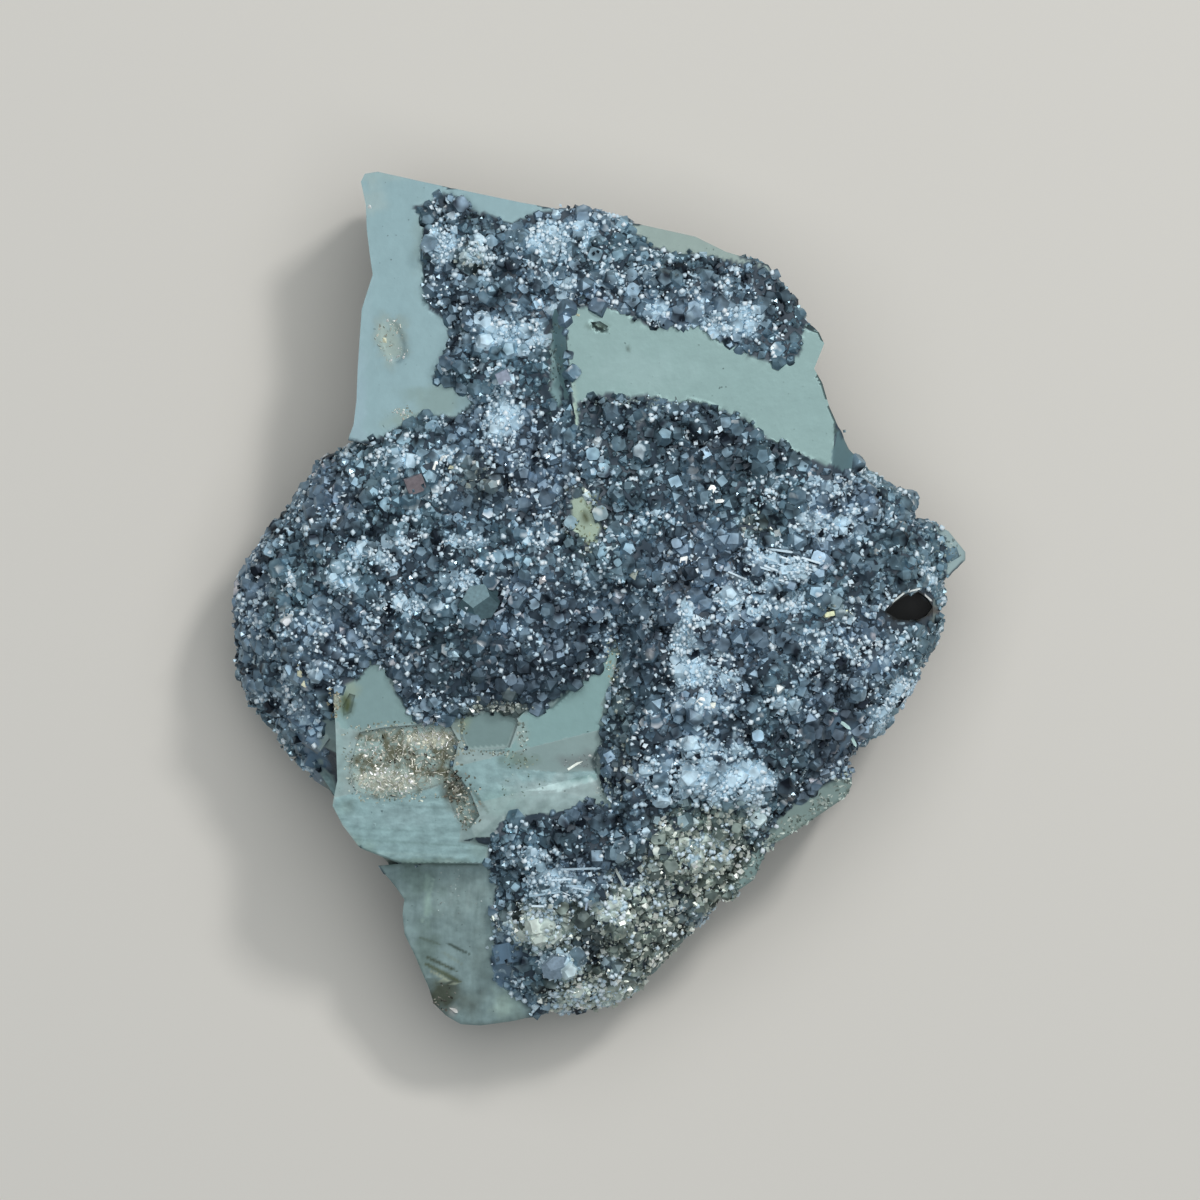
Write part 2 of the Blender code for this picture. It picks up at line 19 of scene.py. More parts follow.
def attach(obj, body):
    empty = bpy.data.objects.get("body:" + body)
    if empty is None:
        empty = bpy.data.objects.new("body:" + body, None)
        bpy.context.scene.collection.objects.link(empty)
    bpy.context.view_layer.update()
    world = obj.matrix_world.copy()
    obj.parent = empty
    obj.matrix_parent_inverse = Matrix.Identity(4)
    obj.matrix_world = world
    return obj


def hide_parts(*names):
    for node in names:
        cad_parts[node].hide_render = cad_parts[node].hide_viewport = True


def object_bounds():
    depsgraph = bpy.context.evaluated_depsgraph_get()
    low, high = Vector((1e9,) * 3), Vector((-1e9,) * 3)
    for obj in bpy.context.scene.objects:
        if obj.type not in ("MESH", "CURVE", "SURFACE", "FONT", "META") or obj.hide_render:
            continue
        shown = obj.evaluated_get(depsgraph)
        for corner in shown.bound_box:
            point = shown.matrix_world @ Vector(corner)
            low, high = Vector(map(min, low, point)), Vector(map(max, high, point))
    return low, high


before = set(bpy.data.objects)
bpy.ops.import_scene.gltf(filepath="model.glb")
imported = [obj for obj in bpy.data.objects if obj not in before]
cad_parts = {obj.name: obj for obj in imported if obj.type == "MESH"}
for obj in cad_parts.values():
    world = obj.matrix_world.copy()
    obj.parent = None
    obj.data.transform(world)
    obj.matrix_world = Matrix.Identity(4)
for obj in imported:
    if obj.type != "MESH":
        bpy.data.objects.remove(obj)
cad_low, cad_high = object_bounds()
scene = bpy.context.scene
print("solid box in mm:", [round(side * 1000, 1) for side in cad_high - cad_low])

# %% [markdown]
# ## From picture points to places
# The specimen was studied in a straight-down picture of its show face, 1200 points wide. Marks such as a pale
# patch are easiest to name by their point in that picture, so two small functions turn points into metres and
# back. The scale comes from the solid's own length, so the marks stay on the stone if its size changes.

# %% Picture scale
TOP_ROW, FOOT_ROW = 172.0, 1028.0
MIDDLE_COLUMN, MIDDLE_ROW = 600.5, 600.0
PICTURE_WIDTH = 1200.0
POINT = (cad_high.y - cad_low.y) / (FOOT_ROW - TOP_ROW)
MM = 0.001


def place(column, row):
    """The place on the plan, in metres, of a point of the picture."""
    return Vector(((column - MIDDLE_COLUMN) * POINT, (MIDDLE_ROW - row) * POINT))


def picture_points(places):
    """The picture's columns and rows of an array of places."""
    return np.column_stack([places[:, 0] / POINT + MIDDLE_COLUMN, MIDDLE_ROW - places[:, 1] / POINT])


print(f"one picture point is {POINT * 1000:.3f} mm")

# %% [markdown]
# ## Camera, floor and light
# The specimen lies on its back and the camera looks straight down, from far off and through a long lens, so
# that high and low parts show at one scale. Metal shows what it mirrors. A broad soft panel overhead gives the
# near-level faces their even pale tone, while the small crystals, which face every way, mostly mirror the
# dimmer surroundings and stay dark with a few bright glints. A smaller lamp up to the right makes those.

# %% Camera
LENS = 400.0
SENSOR = 36.0
SHARP_HEIGHT = 0.028

camera_data = bpy.data.cameras.new("camera")
camera_data.lens = LENS
camera_data.sensor_width = SENSOR
camera = bpy.data.objects.new("camera", camera_data)
scene.collection.objects.link(camera)
view_width = PICTURE_WIDTH * POINT
centre = place(PICTURE_WIDTH / 2, PICTURE_WIDTH / 2)
camera.location = (centre.x, centre.y, SHARP_HEIGHT + view_width * LENS / SENSOR)
camera_data.clip_end = 20
scene.camera = camera
print(f"camera height {camera.location.z:.2f} m, view {view_width * 1000:.0f} mm wide")


# %% Light
def soft_panel(name, size, at, power, colour=(1, 1, 1)):
    """A square lamp that faces the specimen and isn't seen by the camera."""
    data = bpy.data.lights.new(name, "AREA")
    data.size = size
    data.energy = power
    data.color = colour
    lamp = bpy.data.objects.new(name, data)
    lamp.location = at
    lamp.rotation_euler = (-Vector(at)).to_track_quat("-Z", "Y").to_euler()
    lamp.visible_camera = False
    scene.collection.objects.link(lamp)


soft_panel("overhead_panel", 1.1, (0.07, 0.18, 1.10), 8.0)
soft_panel("key_panel", 0.14, (0.38, 0.48, 0.90), 3.0)
world = bpy.data.worlds.new("surroundings")
world.use_nodes = True
world.node_tree.nodes["Background"].inputs["Color"].default_value = (0.66, 0.86, 1.0, 1)
world.node_tree.nodes["Background"].inputs["Strength"].default_value = 0.18
scene.world = world
scene.view_settings.view_transform = "Standard"

# %% [markdown]
# ## Wires: shader maths written as sums
# Node trees are easier to read as formulas. A Wire holds one output socket, and arithmetic on wires adds the
# Math nodes. Everything else comes from one function, which takes a node's type, its settings and the values
# or links of its sockets. The same two tools build the materials and the Geometry Nodes trees.


# %% Wire
class Wire:
    """An output socket whose arithmetic adds Math nodes."""

    def __init__(self, tree, socket):
        self.tree = tree
        self.socket = socket

    def sum(self, operation, *terms):
        made = self.tree.nodes.new("ShaderNodeMath")
        made.operation = operation
        for socket, term in zip(made.inputs, terms):
            connect(self.tree, socket, term)
        return Wire(self.tree, made.outputs[0])

    def __add__(self, other):
        return self.sum("ADD", self, other)

    def __sub__(self, other):
        return self.sum("SUBTRACT", self, other)

    def __rsub__(self, other):
        return self.sum("SUBTRACT", other, self)

    def __mul__(self, other):
        return self.sum("MULTIPLY", self, other)

    def __pow__(self, other):
        return self.sum("POWER", self, other)

    def __gt__(self, other):
        return self.sum("GREATER_THAN", self, other)

    def kept_to_unit(self):
        made = self.sum("ADD", self, 0.0)
        made.socket.node.use_clamp = True
        return made

    __radd__ = __add__
    __rmul__ = __mul__


def connect(tree, socket, value):
    """Links a wire to a socket, or sets the socket's own value."""
    if isinstance(value, Wire):
        tree.links.new(value.socket, socket)
    else:
        socket.default_value = value


def node(tree, kind, settings=None, inputs=None, output=0):
    """A new node with its settings and sockets filled in. Returns one of its outputs as a wire."""
    made = tree.nodes.new(kind)
    settings = dict(settings or {})
    for position, colour in settings.pop("stops", []):
        stops = made.color_ramp.elements
        stop = stops[0] if position == 0 else stops[1] if position == 1 else stops.new(position)
        stop.color = colour
    for name, value in settings.items():
        setattr(made, name, value)
    for name, value in (inputs or {}).items():
        named = [socket for socket in made.inputs if socket.name == name and socket.enabled]
        connect(tree, named[0] if named else made.inputs[name], value)
    if isinstance(output, str):
        return Wire(tree, next(s for s in made.outputs if s.name == output and s.enabled))
    return Wire(tree, [s for s in made.outputs if s.enabled][output])


print("wires ready")

# %% [markdown]
# ## The bare crystal faces, named by their outlines
# The eye reads this stone as pale flat shapes in a dark crust, so the edges of those shapes matter most. Each
# face has its outline in picture points and its tone. A face that leans away from the light is darker in the
# real stone too. Most of the difference is in how clean its metal is, so each gets a tone of its own, but the
# darker tones of faces that lean away or lie under the crust, such as the middle face, also hold painted shade.

# %% Face outlines and tones
FACES = {
    "upper_left": {
        "tone": (0.222, 0.325, 0.345),
        "outline": [
            (340, 165), (378, 160), (440, 176), (500, 188), (565, 202), (556, 209), (530, 216), (510, 225),
            (490, 214), (478, 212), (462, 200), (447, 194), (430, 203), (413, 206), (420, 215), (427, 225),
            (422, 250), (427, 282), (430, 312), (449, 322), (450, 345), (432, 380), (455, 384), (470, 398),
            (474, 414), (440, 418), (420, 414), (405, 428), (380, 438), (340, 447),
        ],
    },
    "upper_right": {
        "tone": (0.225, 0.285, 0.265),
        "outline": [
            (625, 210), (700, 228), (790, 262), (782, 283), (760, 268), (725, 262), (700, 254), (672, 256),
            (640, 240),
        ],
    },
    "band": {
        "tone": (0.152, 0.224, 0.219),
        "outline": [
            (566, 309), (600, 307), (625, 315), (645, 326), (665, 330), (700, 325), (715, 340), (740, 348),
            (755, 360), (790, 366), (800, 350), (802, 325), (840, 325), (840, 400), (842, 434), (830, 467),
            (810, 460), (778, 446), (765, 438), (750, 424), (735, 415), (715, 412), (700, 408), (665, 403),
            (655, 398), (620, 396), (600, 397), (578, 404), (580, 440), (572, 430), (568, 400),
        ],
    },
    "band_wall": {
        "metal": 0.1,
        "tone": (0.22, 0.35, 0.36),
        "outline": [(548, 312), (566, 309), (569, 400), (560, 424), (545, 400), (544, 350)],
    },
    "band_end": {
        "metal": 0.2,
        "tone": (0.14, 0.23, 0.25),
        "outline": [(838, 420), (870, 455), (866, 466), (840, 471), (829, 465)],
    },
    "ridge": {
        "tone": (0.20, 0.255, 0.205),
        "outline": [(582, 488), (592, 508), (600, 528), (597, 545), (584, 541), (572, 530), (570, 505)],
    },
    "left_wing": {
        "tone": (0.140, 0.212, 0.213),
        "outline": [
            (345, 685), (360, 678), (370, 660), (378, 662), (388, 670), (398, 690), (408, 710), (421, 723),
            (400, 726), (360, 730), (340, 728), (334, 712), (332, 695),
        ],
    },
    "middle": {
        "tone": (0.108, 0.161, 0.159),
        "outline": [
            (462, 714), (490, 709), (515, 713), (519, 722), (512, 747), (500, 752), (466, 750), (458, 735),
        ],
    },
    "right_wing": {
        "tone": (0.150, 0.238, 0.236),
        "outline": [
            (515, 713), (545, 708), (560, 695), (575, 685), (590, 675), (600, 665), (618, 640), (619, 655),
            (611, 690), (605, 720), (603, 778), (560, 790), (505, 790), (505, 748), (519, 722),
        ],
    },
    "wing_foot": {
        "metal": 0.15,
        "agreement": 0.99,
        "tone": (0.27, 0.37, 0.36),
        "outline": [(503, 748), (519, 735), (600, 728), (604, 772), (560, 778), (508, 772)],
    },
    "broken": {
        "fine": True,
        "metal": 0.3,
        "tone": (0.25, 0.345, 0.33),
        "outline": [
            (360, 732), (385, 727), (420, 724), (450, 724), (459, 740), (453, 768), (470, 790), (480, 815),
            (470, 828), (458, 820), (448, 796), (442, 784), (400, 796), (375, 798), (355, 790), (350, 765),
        ],
    },
    "streaked": {
        "fine": True,
        "agreement": 0.995,
        "tone": (0.27, 0.40, 0.405),
        "outline": [
            (325, 727), (360, 730), (350, 765), (355, 790), (375, 798), (400, 796), (442, 784), (448, 796),
            (458, 820), (470, 828), (480, 815), (470, 790), (453, 768), (459, 745), (466, 750), (512, 748),
            (516, 768), (560, 772), (603, 770), (604, 780), (612, 808), (585, 800), (565, 810), (520, 815),
            (500, 822), (490, 840), (484, 866), (400, 868), (350, 858), (320, 812),
        ],
    },
    "foot": {
        "metal": 0.2,
        "fine": True,
        "tone": (0.31, 0.42, 0.415),
        "outline": [
            (375, 868), (440, 866), (487, 868), (496, 880), (492, 920), (497, 940), (490, 960), (495, 985),
            (522, 1000), (545, 1025), (460, 1040), (425, 1015), (390, 930),
        ],
    },
    "edge": {
        "metal": 0.3,
        "tone": (0.30, 0.40, 0.37),
        "outline": [(858, 768), (870, 800), (790, 850), (768, 846), (770, 830), (785, 812), (815, 790), (840, 780)],
    },
    "edge_foot": {
        "metal": 0.3,
        "tone": (0.27, 0.38, 0.36),
        "outline": [(775, 850), (765, 890), (715, 905), (735, 880), (745, 865), (757, 850)],
    },
    "tip": {
        "metal": 0.1,
        "tone": (0.36, 0.47, 0.47),
        "outline": [(932, 518), (960, 520), (980, 560), (950, 578), (946, 562), (954, 554), (944, 543)],
    },
    # The cavity at the right rim, painted near black: painted shade inside the hole.
    "hollow": {
        "tone": (0.004, 0.007, 0.008),
        "outline": [
            (884, 612), (893, 603), (905, 596), (917, 592), (925, 598), (932, 606), (940, 611), (928, 615),
            (915, 622), (895, 620),
        ],
    },
}


def distance_outside(points, outline):
    """Distance from points to an outline, negative inside it, in picture points."""
    start = np.array(outline, float)
    step = np.roll(start, -1, axis=0) - start
    offset = points[:, None, :] - start
    share = np.clip((offset * step).sum(-1) / (step * step).sum(-1), 0, 1)
    nearest = np.linalg.norm(offset - share[..., None] * step, axis=-1).min(1)
    above = (start[:, 1] > points[:, None, 1]) != ((start + step)[:, 1] > points[:, None, 1])
    rise = np.where(step[:, 1] == 0, 1e-9, step[:, 1])
    crossing = start[:, 0] + step[:, 0] * (points[:, None, 1] - start[:, 1]) / rise
    inside = (above & (points[:, None, 0] < crossing)).sum(1) % 2 == 1
    return np.where(inside, -nearest, nearest)


print(len(FACES), "bare faces")

# %% [markdown]
# ## A fine skin over the solid
# The solid has about ten thousand triangles, too few to carry streaks and colour. It could be remeshed in
# even cubes, but that would round off the sharp crystal edges. Splitting its long edges keeps every edge where
# it is. The bare faces are split finest, because nothing grows over them, and the underside least.

# %% Split the solid's mesh
FINE, FLAT, MEDIUM, COARSE = 0.46 * MM, 0.8 * MM, 1.5 * MM, 2.6 * MM
WELD = 0.000002
FACE_REACH = 4.0
CRATER = (392, 343, 20, 33)
CRATER_FILLING = 0.88
CRATER_SMOOTHINGS = 6
CRATER_METAL = 0.5


def face_distance(points):
    """Distance to the nearest bare face's outline, negative inside one."""
    return np.min([distance_outside(points, face["outline"]) for face in FACES.values()], axis=0)


def longest_edge(middles):
    """How long an edge may be at each place."""
    points = picture_points(middles)
    on_top = middles[:, 2] > 0.4 * cad_high.z
    marked = [distance_outside(points, face["outline"]) for face in FACES.values() if "fine" in face]
    allowed = np.where(middles[:, 2] < 0.15 * cad_high.z, COARSE, MEDIUM)
    allowed = np.where((face_distance(points) < FACE_REACH) & on_top, FLAT, allowed)
    return np.where((np.min(marked, axis=0) < 1) & on_top, FINE, allowed)


def fill_crater(mesh):
    """Lifts the floor of the upper face's crater most of the way to the face and wears its rim round."""
    mesh.normal_update()
    places = np.array([vert.co for vert in mesh.verts])
    rise = np.array([vert.normal.z for vert in mesh.verts])
    column, row, half_width, half_height = CRATER
    away = (picture_points(places) - (column, row)) / (half_width, half_height)
    reach = np.where(places[:, 2] > 0.4 * cad_high.z, np.hypot(*away.T), np.inf)
    ring = places[(reach > 1.0) & (reach < 1.4) & (rise > 0.95)]
    level = np.linalg.lstsq(np.column_stack([ring[:, :2], np.ones(len(ring))]), ring[:, 2], rcond=None)[0]
    mesh.verts.ensure_lookup_table()
    inner = [mesh.verts[i] for i in np.flatnonzero(reach < 1.0)]
    for vert in inner:
        vert.co.z += CRATER_FILLING * (level @ (vert.co.x, vert.co.y, 1) - vert.co.z)
    for _ in range(CRATER_SMOOTHINGS):
        bmesh.ops.smooth_vert(mesh, verts=inner, factor=0.5, use_axis_x=True, use_axis_y=True, use_axis_z=True)


def split_long_edges(mesh, rounds=9):
    """Halves the edges that are too long, round after round."""
    for _ in range(rounds):
        ends = np.array([[*edge.verts[0].co, *edge.verts[1].co] for edge in mesh.edges])
        length = np.linalg.norm(ends[:, 3:] - ends[:, :3], axis=1)
        candidates = np.flatnonzero(length > FINE)
        middles = (ends[candidates, :3] + ends[candidates, 3:]) / 2
        too_long = candidates[length[candidates] > longest_edge(middles)]
        if not len(too_long):
            break
        mesh.edges.ensure_lookup_table()
        bmesh.ops.subdivide_edges(mesh, edges=[mesh.edges[i] for i in too_long], cuts=1)
        bmesh.ops.triangulate(mesh, faces=[face for face in mesh.faces if len(face.verts) > 3])


skin = bmesh.new()
skin.from_mesh(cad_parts["pyrite_specimen"].data)
bmesh.ops.remove_doubles(skin, verts=skin.verts, dist=WELD)
bmesh.ops.dissolve_limit(skin, angle_limit=0.002, verts=skin.verts, edges=skin.edges)
bmesh.ops.triangulate(skin, faces=skin.faces)
split_long_edges(skin)
fill_crater(skin)
print(len(skin.faces), "triangles in the skin")

# %% [markdown]
# ## What grows where
# Every point of the skin gets a few numbers, stored as attributes that both the materials and the growing
# crystals read: whether it is a bare face or crust, how pale, how dark (partly painted shade) and how glittery its
# surroundings are.
# A patch is a named ellipse in picture points, blurred at its rim by noise so that no oval shows.

# %% Patches of the crust: column, row, half width, half height, strength
PALE_PATCHES = [
    (510, 336, 40, 17, 1.0), (535, 338, 16, 14, 1.0), (722, 325, 32, 17, 1.0), (748, 320, 16, 12, 1.0),
    (655, 315, 9, 15, 0.9), (546, 242, 20, 20, 0.8), (586, 233, 18, 17, 0.8), (445, 249, 17, 19, 0.9),
    (477, 260, 16, 18, 0.8), (505, 425, 17, 32, 0.9), (504, 378, 12, 11, 0.7), (690, 280, 13, 9, 0.7),
    (567, 289, 13, 10, 0.7), (607, 289, 5, 12, 0.7), (343, 577, 17, 20, 0.75), (372, 554, 26, 9, 0.9),
    (408, 538, 22, 8, 1.0), (463, 542, 27, 7, 1.0), (461, 580, 25, 8, 1.0), (402, 605, 27, 9, 0.9),
    (534, 537, 22, 14, 0.6), (318, 618, 18, 20, 0.5), (250, 610, 10, 26, 0.3), (396, 460, 26, 7, 0.7),
    (452, 458, 16, 9, 0.8), (590, 585, 10, 14, 0.5), (788, 567, 32, 15, 1.0), (752, 600, 36, 17, 0.9),
    (795, 603, 18, 12, 0.8), (822, 491, 26, 10, 0.8), (841, 527, 20, 12, 0.8), (684, 630, 13, 32, 1.0),
    (690, 672, 22, 20, 0.9), (720, 665, 14, 20, 0.7), (708, 706, 20, 10, 0.8), (712, 745, 36, 10, 0.8),
    (694, 776, 58, 19, 1.0), (884, 716, 14, 12, 0.9), (750, 778, 24, 22, 1.0), (757, 812, 13, 17, 0.9), (858, 645, 22, 12, 0.9),
    (812, 640, 16, 14, 0.8), (903, 690, 12, 13, 0.9), (876, 712, 7, 9, 0.8), (780, 703, 22, 9, 0.7),
    (553, 885, 32, 20, 0.75), (535, 858, 22, 10, 0.7), (557, 967, 18, 16, 1.0), (536, 927, 32, 17, 1.0),
    (505, 1003, 14, 10, 0.7), (614, 912, 18, 12, 1.0), (700, 850, 30, 16, 0.8), (590, 994, 40, 12, 0.9),
    (770, 480, 20, 12, 0.5), (700, 440, 20, 12, 0.4), (330, 655, 14, 16, 0.5), (650, 985, 20, 14, 0.6),
    (640, 880, 18, 12, 0.6), (560, 462, 44, 30, 0.3), (600, 262, 44, 20, 0.25), (720, 790, 20, 12, 0.8),
]
# Dark patches, partly painted shade: (500, 670) is the crust's lower flank facing down over the middle face, (636, 725)
# the column facing away from the light, (838, 737) and (786, 790) shaded pockets. The other rows darken the crust in
# places.
DARK_AND_SHADED_PATCHES = [
    (500, 670, 90, 32, 0.75), (636, 725, 20, 70, 0.15), (838, 737, 24, 30, 1.0), (786, 790, 13, 11, 1.0),
    (440, 630, 40, 20, 0.3), (560, 620, 45, 30, 0.2), (640, 850, 30, 22, 0.4), (502, 270, 9, 8, 1.0),
    (560, 430, 24, 22, 0.1), (700, 460, 90, 40, 0.35), (800, 750, 40, 34, 0.5), (590, 940, 16, 24, 0.8),
    (590, 845, 55, 14, 0.6), (660, 660, 20, 40, 0.5), (490, 500, 70, 16, 0.3), (548, 994, 12, 13, 0.8),
    (440, 212, 18, 10, 0.7), (607, 520, 9, 18, 0.8), (870, 560, 34, 30, 0.3), (780, 300, 22, 26, 0.5), (622, 430, 50, 20, 0.5), (930, 640, 12, 30, 0.4),
]
GLITTER_PATCHES = [
    (700, 860, 58, 48, 1.0), (640, 930, 56, 52, 1.0), (594, 988, 48, 24, 1.0), (588, 520, 22, 30, 0.4),
    (545, 928, 42, 22, 1.0), (730, 825, 34, 20, 0.8), (480, 480, 20, 20, 0.5), (500, 708, 36, 7, 1.0),
    (622, 740, 8, 60, 0.4), (756, 528, 18, 12, 0.5), (830, 612, 16, 8, 0.6), (470, 262, 14, 14, 0.5),
]
SMOOTH_PATCHES = [
    (308, 752, 17, 44, 1.0), (843, 740, 16, 26, 0.7), (290, 700, 12, 26, 0.6), (504, 962, 13, 28, 1.0),
]
CREAM_PATCHES = [(392, 343, 13, 21, 0.4), (403, 411, 9, 7, 0.4), (334, 700, 7, 12, 0.8)]
# Bright patches in the broken zone and the crater: the pale brass of broken pyrite, partly painted glints.
BRIGHT_AND_GLINT_PATCHES = [
    (432, 738, 26, 11, 1.0), (386, 781, 38, 12, 1.0), (370, 745, 14, 10, 0.5), (462, 818, 12, 10, 0.5),
    (392, 343, 14, 24, 0.6),
]
RIM_RAGGEDNESS = 0.55
EDGE_SOFTNESS = 2.2


def wobble_at(points, swells, level):
    """Smooth noise over the plan, with this many swells to a picture point."""
    return np.array([noise.noise(Vector((x * swells, y * swells, level))) for x, y in points])


def patch_strength(points, ragged, patches, softness=EDGE_SOFTNESS):
    """How strongly points lie in any of the patches, from 0 to 1, their rims made ragged by noise."""
    strength = np.zeros(len(points))
    for column, row, half_width, half_height, most in patches:
        across = (points[:, 0] - column) / half_width
        down = (points[:, 1] - row) / half_height
        reach = np.hypot(across, down) + ragged
        strength = np.maximum(strength, most * np.clip((1.25 - reach) * softness, 0, 1))
    return strength


# %% Tints of the bare faces: column, row, half width, half height, strength, colour
FACE_TINTS = [
    (392, 343, 16, 26, 0.55, (0.27, 0.31, 0.25)), (440, 402, 34, 20, 0.6, (0.17, 0.235, 0.215)),
    (405, 420, 22, 12, 0.5, (0.20, 0.26, 0.22)), (420, 240, 8, 40, 0.4, (0.20, 0.27, 0.26)),
    # (357, 400) and (366, 290) paint a lighter bluish rim along the upper face's left edge, a painted highlight on its
    # narrow bevel.
    (357, 400, 9, 60, 0.6, (0.25, 0.345, 0.385)), (366, 290, 8, 60, 0.5, (0.255, 0.36, 0.385)),
    (374, 200, 14, 18, 0.5, (0.29, 0.36, 0.35)), (375, 176, 40, 6, 0.5, (0.27, 0.35, 0.34)),
    # The dark spots at (598, 328) and (628, 350) are painted shade in small pits.
    (598, 328, 10, 4, 1.0, (0.05, 0.075, 0.06)), (628, 350, 3, 4, 0.9, (0.06, 0.085, 0.075)),
    (574, 420, 5, 28, 0.6, (0.28, 0.35, 0.28)), (640, 372, 50, 20, 0.25, (0.21, 0.29, 0.29)),
    # (347, 704) is painted shade in a small olive pit.
    (347, 704, 7, 12, 1.0, (0.045, 0.06, 0.025)), (334, 700, 6, 16, 0.9, (0.24, 0.25, 0.19)),
    (352, 690, 9, 9, 0.5, (0.20, 0.24, 0.17)), (463, 722, 10, 9, 0.7, (0.13, 0.17, 0.12)),
    (522, 736, 6, 18, 0.5, (0.22, 0.27, 0.25)), (516, 760, 20, 8, 0.6, (0.14, 0.20, 0.15)),
    (583, 760, 24, 9, 0.6, (0.17, 0.19, 0.19)), (545, 792, 3, 5, 1.0, (0.03, 0.05, 0.05)),
    (552, 790, 50, 17, 0.85, (0.37, 0.48, 0.475)), (500, 800, 30, 14, 0.4, (0.27, 0.42, 0.39)),
    # Painted shade: (430, 862) darkens the line along the step down to the foot, and (355, 850) is dark green shading
    # on the lower left edge of the streaked face.
    (400, 815, 50, 14, 0.5, (0.30, 0.42, 0.43)), (430, 862, 60, 5, 0.8, (0.15, 0.22, 0.20)),
    (355, 850, 26, 14, 0.5, (0.20, 0.29, 0.25)), (350, 805, 10, 8, 0.4, (0.15, 0.20, 0.17)),
    (340, 760, 9, 50, 0.4, (0.25, 0.39, 0.38)), (482, 846, 12, 16, 0.5, (0.20, 0.28, 0.26)),
    (455, 895, 30, 30, 0.6, (0.38, 0.50, 0.48)), (420, 880, 22, 18, 0.7, (0.22, 0.31, 0.28)),
    (427, 902, 4, 26, 0.8, (0.38, 0.53, 0.47)), (425, 950, 16, 30, 0.7, (0.21, 0.29, 0.26)),
    (443, 996, 21, 22, 1.0, (0.10, 0.118, 0.088)), (470, 1005, 14, 14, 0.8, (0.16, 0.20, 0.18)),
    (504, 1008, 16, 15, 1.0, (0.44, 0.58, 0.52)), (454, 1012, 4, 4, 0.9, (0.50, 0.50, 0.48)),
    (482, 965, 12, 30, 0.5, (0.26, 0.34, 0.32)), (810, 830, 24, 16, 0.5, (0.36, 0.45, 0.40)),
    (860, 785, 10, 18, 0.5, (0.36, 0.47, 0.43)), (586, 519, 5, 7, 1.0, (0.05, 0.06, 0.035)),
    (432, 739, 24, 9, 0.5, (0.42, 0.42, 0.33)), (388, 780, 36, 11, 0.5, (0.40, 0.42, 0.34)),
    (455, 790, 14, 16, 0.7, (0.05, 0.05, 0.03)), (400, 758, 34, 7, 0.4, (0.09, 0.09, 0.055)),
    (452, 752, 9, 14, 0.6, (0.06, 0.06, 0.035)), (374, 735, 16, 6, 0.5, (0.10, 0.10, 0.06)),
]

# Scratches of the foot crystal: start column, row, end column, row, half width, strength, colour
SCRATCHES = [
    (446, 944, 470, 956, 1.6, 0.9, (0.08, 0.11, 0.09)), (423, 957, 457, 973, 1.8, 0.9, (0.09, 0.11, 0.07)),
    (424, 965, 460, 984, 2.6, 0.9, (0.11, 0.13, 0.07)), (429, 972, 458, 988, 1.3, 1.0, (0.42, 0.47, 0.36)),
    (434, 878, 421, 926, 1.6, 0.9, (0.40, 0.55, 0.49)), (418, 938, 440, 946, 1.6, 0.6, (0.12, 0.16, 0.12)),
    (440, 952, 462, 966, 1.4, 0.6, (0.30, 0.37, 0.31)), (470, 880, 466, 920, 1.2, 0.5, (0.46, 0.58, 0.56)),
    (452, 884, 449, 912, 1.2, 0.5, (0.46, 0.58, 0.56)), (458, 900, 456, 932, 1.1, 0.5, (0.17, 0.23, 0.22)),
    # The dark line from (376, 862) to (486, 865) is painted shade along the step down to the foot.
    (478, 890, 476, 930, 1.1, 0.4, (0.18, 0.25, 0.24)), (376, 862, 486, 865, 1.5, 0.7, (0.11, 0.17, 0.15)),
    (340, 838, 470, 846, 1.3, 0.5, (0.17, 0.26, 0.25)), (345, 852, 460, 855, 1.2, 0.4, (0.36, 0.50, 0.48)),
    (588, 774, 604, 800, 2.0, 0.6, (0.40, 0.50, 0.49)), (470, 786, 488, 812, 2.0, 0.6, (0.10, 0.13, 0.11)),
    (360, 828, 430, 831, 1.2, 0.5, (0.18, 0.27, 0.27)), (400, 806, 470, 808, 1.3, 0.4, (0.20, 0.29, 0.28)),
]


def scratch_strength(points, start, end, half_width):
    """How strongly points lie on a straight scratch, from 0 to 1."""
    start, end = np.array(start, float), np.array(end, float)
    step = end - start
    share = np.clip(((points - start) @ step) / (step @ step), 0, 1)
    away = np.linalg.norm(points - start - share[:, None] * step, axis=1)
    taper = np.sqrt(np.clip(4 * share * (1 - share), 0.05, 1))
    return np.clip(1.4 - away / (half_width * taper), 0, 1)


# %% Number every point of the skin
FACE_METAL = 0.7
UPWARD = 0.25
STEEPEST = 0.12
FACE_AGREEMENT = 0.93
DEEP_INSIDE = -7.0
# The crust's ground between its crystals: its own dark colour, kept darker as painted shade in the gaps.
CRUST_GROUND_AND_GAP_SHADE = (0.045, 0.066, 0.088)
WALL_COLOUR = (0.13, 0.20, 0.205)
UNDERSIDE_COLOUR = (0.085, 0.12, 0.12)

